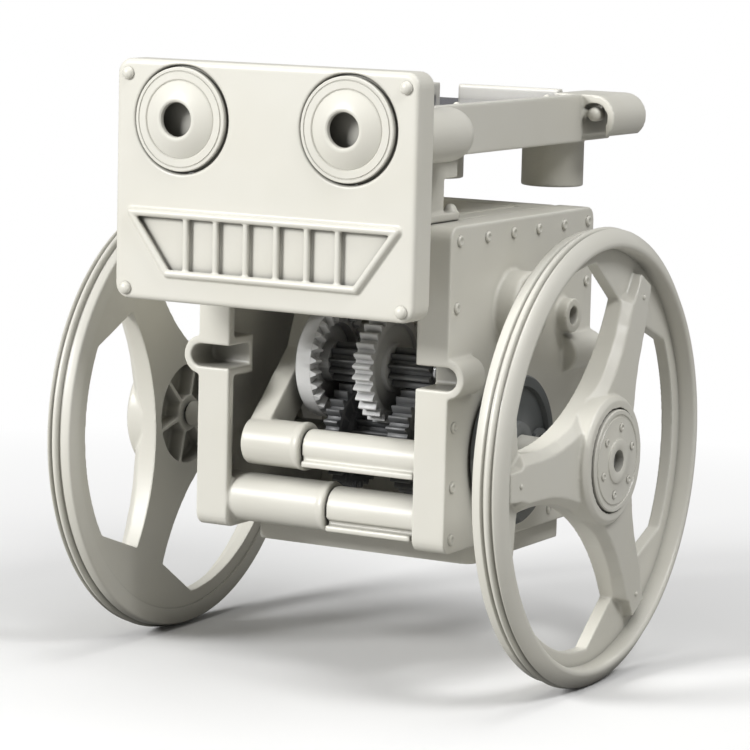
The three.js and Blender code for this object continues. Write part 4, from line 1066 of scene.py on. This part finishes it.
def show_rivets():
    front = FACE["front"]
    for side, side_name in ((-1, "left"), (1, "right")):
        for z, height in ((FACE["bottom"] + 1.9, "lower"), (FACE["top"] - 2.6, "upper")):
            at = (side * (FACE["half"] - 2.4), z)
            dome = [(front - 0.95 + 0.9 * (1 - math.cos(a)), 1.15 * math.sin(a)) for a in map(math.radians, range(0, 91, 15))]
            profile = dome + [(front, 1.1), (front, 0.7), (front + 1.8, 0.7), (front + 2, 0.5), (front + 2, 0)]
            show(f"face_rivet_{height}_{side_name}", turned("y", profile, at, 48), 50)


def show_eyes():
    """Each eye is a round insert: a flat ring with a fine groove, and a dome with a deep hole for its pupil."""
    front, pupil, outer = FACE["front"], EYE["pupil"], EYE["radius"] - 0.1
    dome_edge, crest, sphere = 6.75, pupil + 0.7, 11.7
    rise = EYE["proud"] - 0.05
    drop = math.sqrt(sphere**2 - crest**2)
    dome = []
    for step in range(15):
        r = dome_edge + (crest - dome_edge) * step / 14
        dome.append((front - rise + drop - math.sqrt(sphere**2 - r**2), r))
    lip = [(front - rise + 0.03, crest - 0.3), (front - rise + 0.2, pupil + 0.15), (front - rise + 0.5, pupil)]
    lip += [(front - rise + 0.9, pupil), (front - 0.2, 5.4)]
    back, floor, face = front + 2.4, front + 2.1, front - 0.6
    flange = outer + 0.3
    ring = [(back, 0), (back, flange), (front + 1, flange), (front + 0.8, outer), (face + 0.15, outer)]
    ring += [(face, outer - 0.15), (face, 8.45), (face + 0.15, 8.35), (face + 0.15, 8.25), (face, 8.15)]
    ring += [(face, 7), (face + 0.1, 6.85)]
    profile = ring + dome + lip + [(floor, 5.4), (floor, 0)]
    for side, name in ((-1, "left"), (1, "right")):
        show(f"{name}_eye", turned("y", profile, (side * EYE["x"], EYE["z"])), 28)


def show_neck():
    """Two stepped posts on a base plate carry the front of the panel."""
    front, back, step = NECK["front"], NECK["back"], NECK["step"]
    top = SHELL["top"]
    reach = NECK["outer"] + 0.6
    base = plate("z", rounded(-reach, front - 0.6, reach, NECK["shoulder"] + 0.6, 1), (top + GAP, top + 1.6))
    posts = []
    for side in (-1, 1):
        across = (side * NECK["inner"], side * NECK["outer"])
        middle = side * (NECK["inner"] + NECK["outer"]) / 2
        posts += [
            block(across, (front, back), (top + 1, step + 1)),
            block(across, (front, NECK["shoulder"]), (step, PANEL["bottom"] - GAP)),
            rod("z", 2, (step + 1, PANEL["bottom"] + 1.2), (middle, (front + NECK["shoulder"]) / 2)),
            bead((side * 19.2, -10.2, top + 1.4), (side * 19.2, -10.2, top + 1.8), 1.2),
        ]
    show("neck_bracket", moulded(join(base, *posts), 0.25))


# ---- Solar panel ----


def domed(at, radius, span):
    """A bar along Y, flat at the start of its span and domed at the end."""
    flat, tip = span
    way = 1 if tip > flat else -1
    dome = [(tip - way * radius * (1 - math.sin(a)), radius * math.cos(a)) for a in map(math.radians, range(0, 90, 10))]
    return turned("y", [(flat, 0), (flat, radius)] + dome + [(tip, 0)], at, 72)


def panel_tray():
    half, front, back, top, bottom, wall = (PANEL[key] for key in ("half", "front", "back", "top", "bottom", "wall"))
    outside = block((-half, half), (front, back), (bottom, top))
    well = block((-half + wall, half - wall), (front + wall, back - wall), (bottom + 1.1, top + 1))
    gaps, corners, tabs = [], [], []
    for side in (-1, 1):
        for span in ((front - 1, front + wall + 0.1), (back - wall - 0.1, back + 1)):
            gaps.append(block((side * 11, side * 15.8), span, (95.2, top + 1)))
        for span in ((front + 0.5, front + 14), (back - 14, back - 0.5)):
            corners.append(block((side * 15.8, side * (half - 0.5)), span, (100.5, top)))
        gaps.append(block((side * (half - 0.8), side * (half + 1)), (36.2, back + 1), (bottom - 1, top - 1.2)))
        for middle in (27, front + back - 27):
            reach = sorted((side * (half - 0.5), side * (half - 5.6)))
            shape = rounded(reach[0], middle - 9, reach[1], middle + 9, 2.4)
            tabs.append(plate("z", shape, (CELL["top"] + 0.3, top - 0.9)))
            tabs.append(block((side * (half - 3), side * (half - 0.5)), (middle - 9, middle + 9), (CELL["top"] + 0.3, top - 0.9)))
    return join(cut(outside, well, *gaps), *corners, *tabs)


def panel_clip(side):
    """An arch beside the rear of the frame, open underneath, with a round knob in its mouth."""
    x, z, outer, slot = (PANEL_CLIP[key] for key in ("x", "z", "outer", "slot"))
    half, back = PANEL["half"], PANEL["back"]
    start = back - PANEL_CLIP["length"]
    arch = rod("y", outer, (start, back), (side * x, z), 72) + block((side * (half - 1), side * x), (start, back), (z, PANEL["top"]))
    inside = rod("y", slot, (start + 1.2, back + 1), (side * x, z), 72)
    mouth = rod("y", outer - 1.5, (start - 1, start + 1.3), (side * x, z), 72)
    below = block((side * x - slot, side * x + slot), (start - 1, back + 1), (PANEL["bottom"] - 3, z))
    knob = bead((side * x, start + 0.6, z + 0.7), (side * x, start + 2, z + 0.7), 1.4)
    stem = block((side * (half - 1), side * x), (start + 0.2, start + 1.6), (z + 0.2, z + 1.4))
    return join(cut(arch, inside, mouth, below), knob, stem)


def show_panel():
    half, front, back, bottom, top = (PANEL[key] for key in ("half", "front", "back", "bottom", "top"))
    reach = half - PANEL["wall"] + GAP
    inside = block((-reach, reach), (front - 1, back + 1), (bottom, top + 1))
    frame_solid = panel_tray()
    cuts = [rod("z", WIRE["hole"], (bottom - 1, bottom + 3), (0, WIRE["y"]), 32)]
    for side in (-1, 1):
        x = side * PEG["x"]
        socket = domed((x, PEG["z"]), PEG["socket"], (front, PEG["socket_end"] + PEG["socket"]))
        bridge = block((side * (half - 1), x), (front, PEG["socket_end"]), (PEG["z"] - 3.6, PEG["z"] + 3.6))
        leg_at = (side * PANEL_LEG["x"], PANEL_LEG["y"])
        leg = rod("z", PANEL_LEG["radius"], (PANEL_LEG["bottom"], bottom + 0.5), leg_at, 96)
        frame_solid = join(frame_solid, (socket + bridge) - inside, panel_clip(side) - inside, leg)
        middle = side * (NECK["inner"] + NECK["outer"]) / 2
        cuts += [
            rod("y", PEG["radius"] + GAP, (front - 1, PEG["to"] + 0.6), (x, PEG["z"]), 48),
            rod("z", PANEL_LEG["bore"], (PANEL_LEG["bottom"] - 1, bottom - 1), leg_at),
            rod("z", 2.1, (bottom - 1, bottom + 2), (middle, (NECK["front"] + NECK["shoulder"]) / 2), 48),
        ]
    pips = [
        bead((side * (half - 2), y, top - 1.2), (side * (half - 2), y, top - 0.4), 0.7)
        for side in (-1, 1)
        for y in (24.8, front + back - 24.8)
    ]
    show("panel_frame", beside(moulded(cut(frame_solid, *cuts), 0.3), *pips))
    wall, air = PANEL["wall"], 0.2
    edge = half - wall - air
    cell = block((-edge, edge), (front + wall + air, back - wall - air), (CELL["bottom"], CELL["top"]))
    show("solar_cell", eased(cell, 0.4, 3), 40)


def show_lead(name, side):
    """An insulated lead from under the panel, through the top cover and the bulkhead, to a motor tab."""
    tab, back = MOTOR["x"] + side * 5.4, MOTOR["front"] + MOTOR["length"]
    z, down, apart = SHAFT["at"][1], WIRE["y"], side * WIRE["apart"]
    hole_x, hole_z = CABLE_HOLE["x"], CABLE_HOLE["z"] + apart
    controls = [
        (apart, down, CELL["bottom"] - 0.15),
        (apart, down, PANEL["bottom"] - 3),
        (apart, down, SHELL["top"] - 2),
        (hole_x / 2, 0, hole_z + 4),
        (hole_x, BULKHEAD["front"] - 1, hole_z),
        (hole_x, BULKHEAD["back"] + 1, hole_z),
        ((hole_x + tab) / 2, back - 3, hole_z - 1.5),
        (tab, back + 3.3, z + 9.8),
        (tab, back + 3.3, z + 4.4),
    ]
    path = [Vector(point) for point in controls]
    path = [path[0] * 2 - path[1]] + path + [path[-1] * 2 - path[-2]]
    centres = []
    for a, b, c, d in zip(path, path[1:], path[2:], path[3:]):
        for step in range(10):
            t = step / 10
            centres.append(
                0.5 * (2 * b + (c - a) * t + (2 * a - 5 * b + 4 * c - d) * t**2 + (3 * b - a - 3 * c + d) * t**3)
            )
    centres.append(path[-2])
    steps = 16
    points, side_way = [], Vector((1, 0, 0))
    for i, centre in enumerate(centres):
        ahead = (centres[min(i + 1, len(centres) - 1)] - centres[max(i - 1, 0)]).normalized()
        across = (side_way - ahead * side_way.dot(ahead)).normalized()
        other = ahead.cross(across)
        for u, v in circle((0, 0), WIRE["radius"], steps):
            points.append(centre + across * u + other * v)
    faces = [tuple(range(steps)), tuple(range(len(points) - steps, len(points)))]
    for level in range(len(centres) - 1):
        for i in range(steps):
            low, after = level * steps + i, level * steps + (i + 1) % steps
            faces.append((low, after, after + steps, low + steps))
    show(name, closed(points, faces), 50)


# ---- Build ----
show_right_shell()
show_left_shell()
show_tie_screws()
show_gear_bracket()
show_covers()
show_crown_gear()
show_gear_train()
show_motor()
show_running_gear()
show_face_plate()
show_rivets()
show_eyes()
show_neck()
show_panel()
show_lead("lead_red", -1)
show_lead("lead_black", 1)
for mesh in [m for m in bpy.data.meshes if m.users == 0]:
    bpy.data.meshes.remove(mesh)


# ---- Floor, light and camera ----


def camera_share(tree):
    """1 for what the camera sees straight away, 0 for light on its way round the room."""
    return node(tree, "ShaderNodeLightPath").outputs["Is Camera Ray"]


def show_floor():
    """A wide plain floor that fades into the white of the room, so no edge or horizon shows."""
    ring = [(3 * math.cos(a), 3 * math.sin(a), 0) for a in [math.radians(t) for t in range(0, 360, 6)]]
    mesh = bpy.data.meshes.new("floor")
    mesh.from_pydata(ring, [], [tuple(range(len(ring)))])
    floor = bpy.data.objects.new("floor", mesh)
    bpy.context.scene.collection.objects.link(floor)
    material, tree = new_material("floor_paint")
    place_in = node(tree, "ShaderNodeTexCoord").outputs["Object"]
    away = node(tree, "ShaderNodeVectorMath", {"operation": "LENGTH"})
    tree.links.new(place_in, away.inputs[0])
    fade = ranged(tree, away.outputs["Value"], 0.0, 1.0, 0.07, 0.27)
    pale = mixed(tree, ranged(tree, noise(tree, 6.0), 0, 1), (0.96, 0.96, 0.955, 1), (0.94, 0.94, 0.935, 1))
    seen = mixed(tree, camera_share(tree), (0.34, 0.335, 0.32, 1), pale)
    paint = node(tree, "ShaderNodeBsdfPrincipled", Base_Color=seen, Roughness=0.8)
    white = node(tree, "ShaderNodeEmission", Color=(1, 1, 1, 1), Strength=1.0)
    far = node(tree, "ShaderNodeMath", {"operation": "MULTIPLY"})
    tree.links.new(fade, far.inputs[0])
    tree.links.new(camera_share(tree), far.inputs[1])
    blend = tree.nodes.new("ShaderNodeMixShader")
    tree.links.new(far.outputs[0], blend.inputs[0])
    tree.links.new(paint.outputs[0], blend.inputs[1])
    tree.links.new(white.outputs[0], blend.inputs[2])
    finished(tree, blend)
    mesh.materials.append(material)


def add_area(name, place_at, target, size, power, colour=(1, 1, 1)):
    """A square soft light at one point that faces another."""
    light = bpy.data.lights.new(name, "AREA")
    light.size = size
    light.energy = power
    light.color = colour
    holder = bpy.data.objects.new(name, light)
    bpy.context.scene.collection.objects.link(holder)
    holder.location = place_at
    holder.rotation_mode = "QUATERNION"
    holder.rotation_quaternion = (Vector(target) - Vector(place_at)).to_track_quat("-Z", "Y")


def light_room():
    """A white room whose own light is weak, with a soft key from the front left."""
    world = bpy.data.worlds.new("studio")
    bpy.context.scene.world = world
    world.use_nodes = True
    tree = world.node_tree
    strength = ranged(tree, camera_share(tree), 0.17, 1.0, 0.0, 1.0)
    tree.links.new(strength, tree.nodes["Background"].inputs["Strength"])
    tree.nodes["Background"].inputs["Color"].default_value = (1, 1, 1, 1)
    middle = (0, 0, 0.055)
    add_area("key", (-0.45, -0.8, 0.45), middle, 0.3, 8.3)
    add_area("top", (0.1, 0.1, 0.95), middle, 0.5, 2.2)
    add_area("fill", (0.62, -0.2, 0.8), middle, 0.35, 4.3)


def add_camera():
    """The camera stands in front, to the right and a little above, and leans slightly."""
    azimuth, elevation, lean = (math.radians(angle) for angle in (29.29, 7.97, 1.41))
    back = Vector(
        (math.sin(azimuth) * math.cos(elevation), -math.cos(azimuth) * math.cos(elevation), math.sin(elevation))
    )
    camera = bpy.data.cameras.new("camera")
    camera.lens = 161.3
    camera.sensor_width = 36
    holder = bpy.data.objects.new("camera", camera)
    bpy.context.scene.collection.objects.link(holder)
    aim = (-back).to_track_quat("-Z", "Y").to_matrix().to_4x4() @ Matrix.Rotation(lean, 4, "Z")
    stand = Vector((0.2970, -0.5311, 0.1371))
    holder.matrix_world = Matrix.Translation(HOME.translation + stand) @ aim
    bpy.context.scene.camera = holder


show_floor()
light_room()
add_camera()
bpy.context.scene.view_settings.view_transform = "Standard"
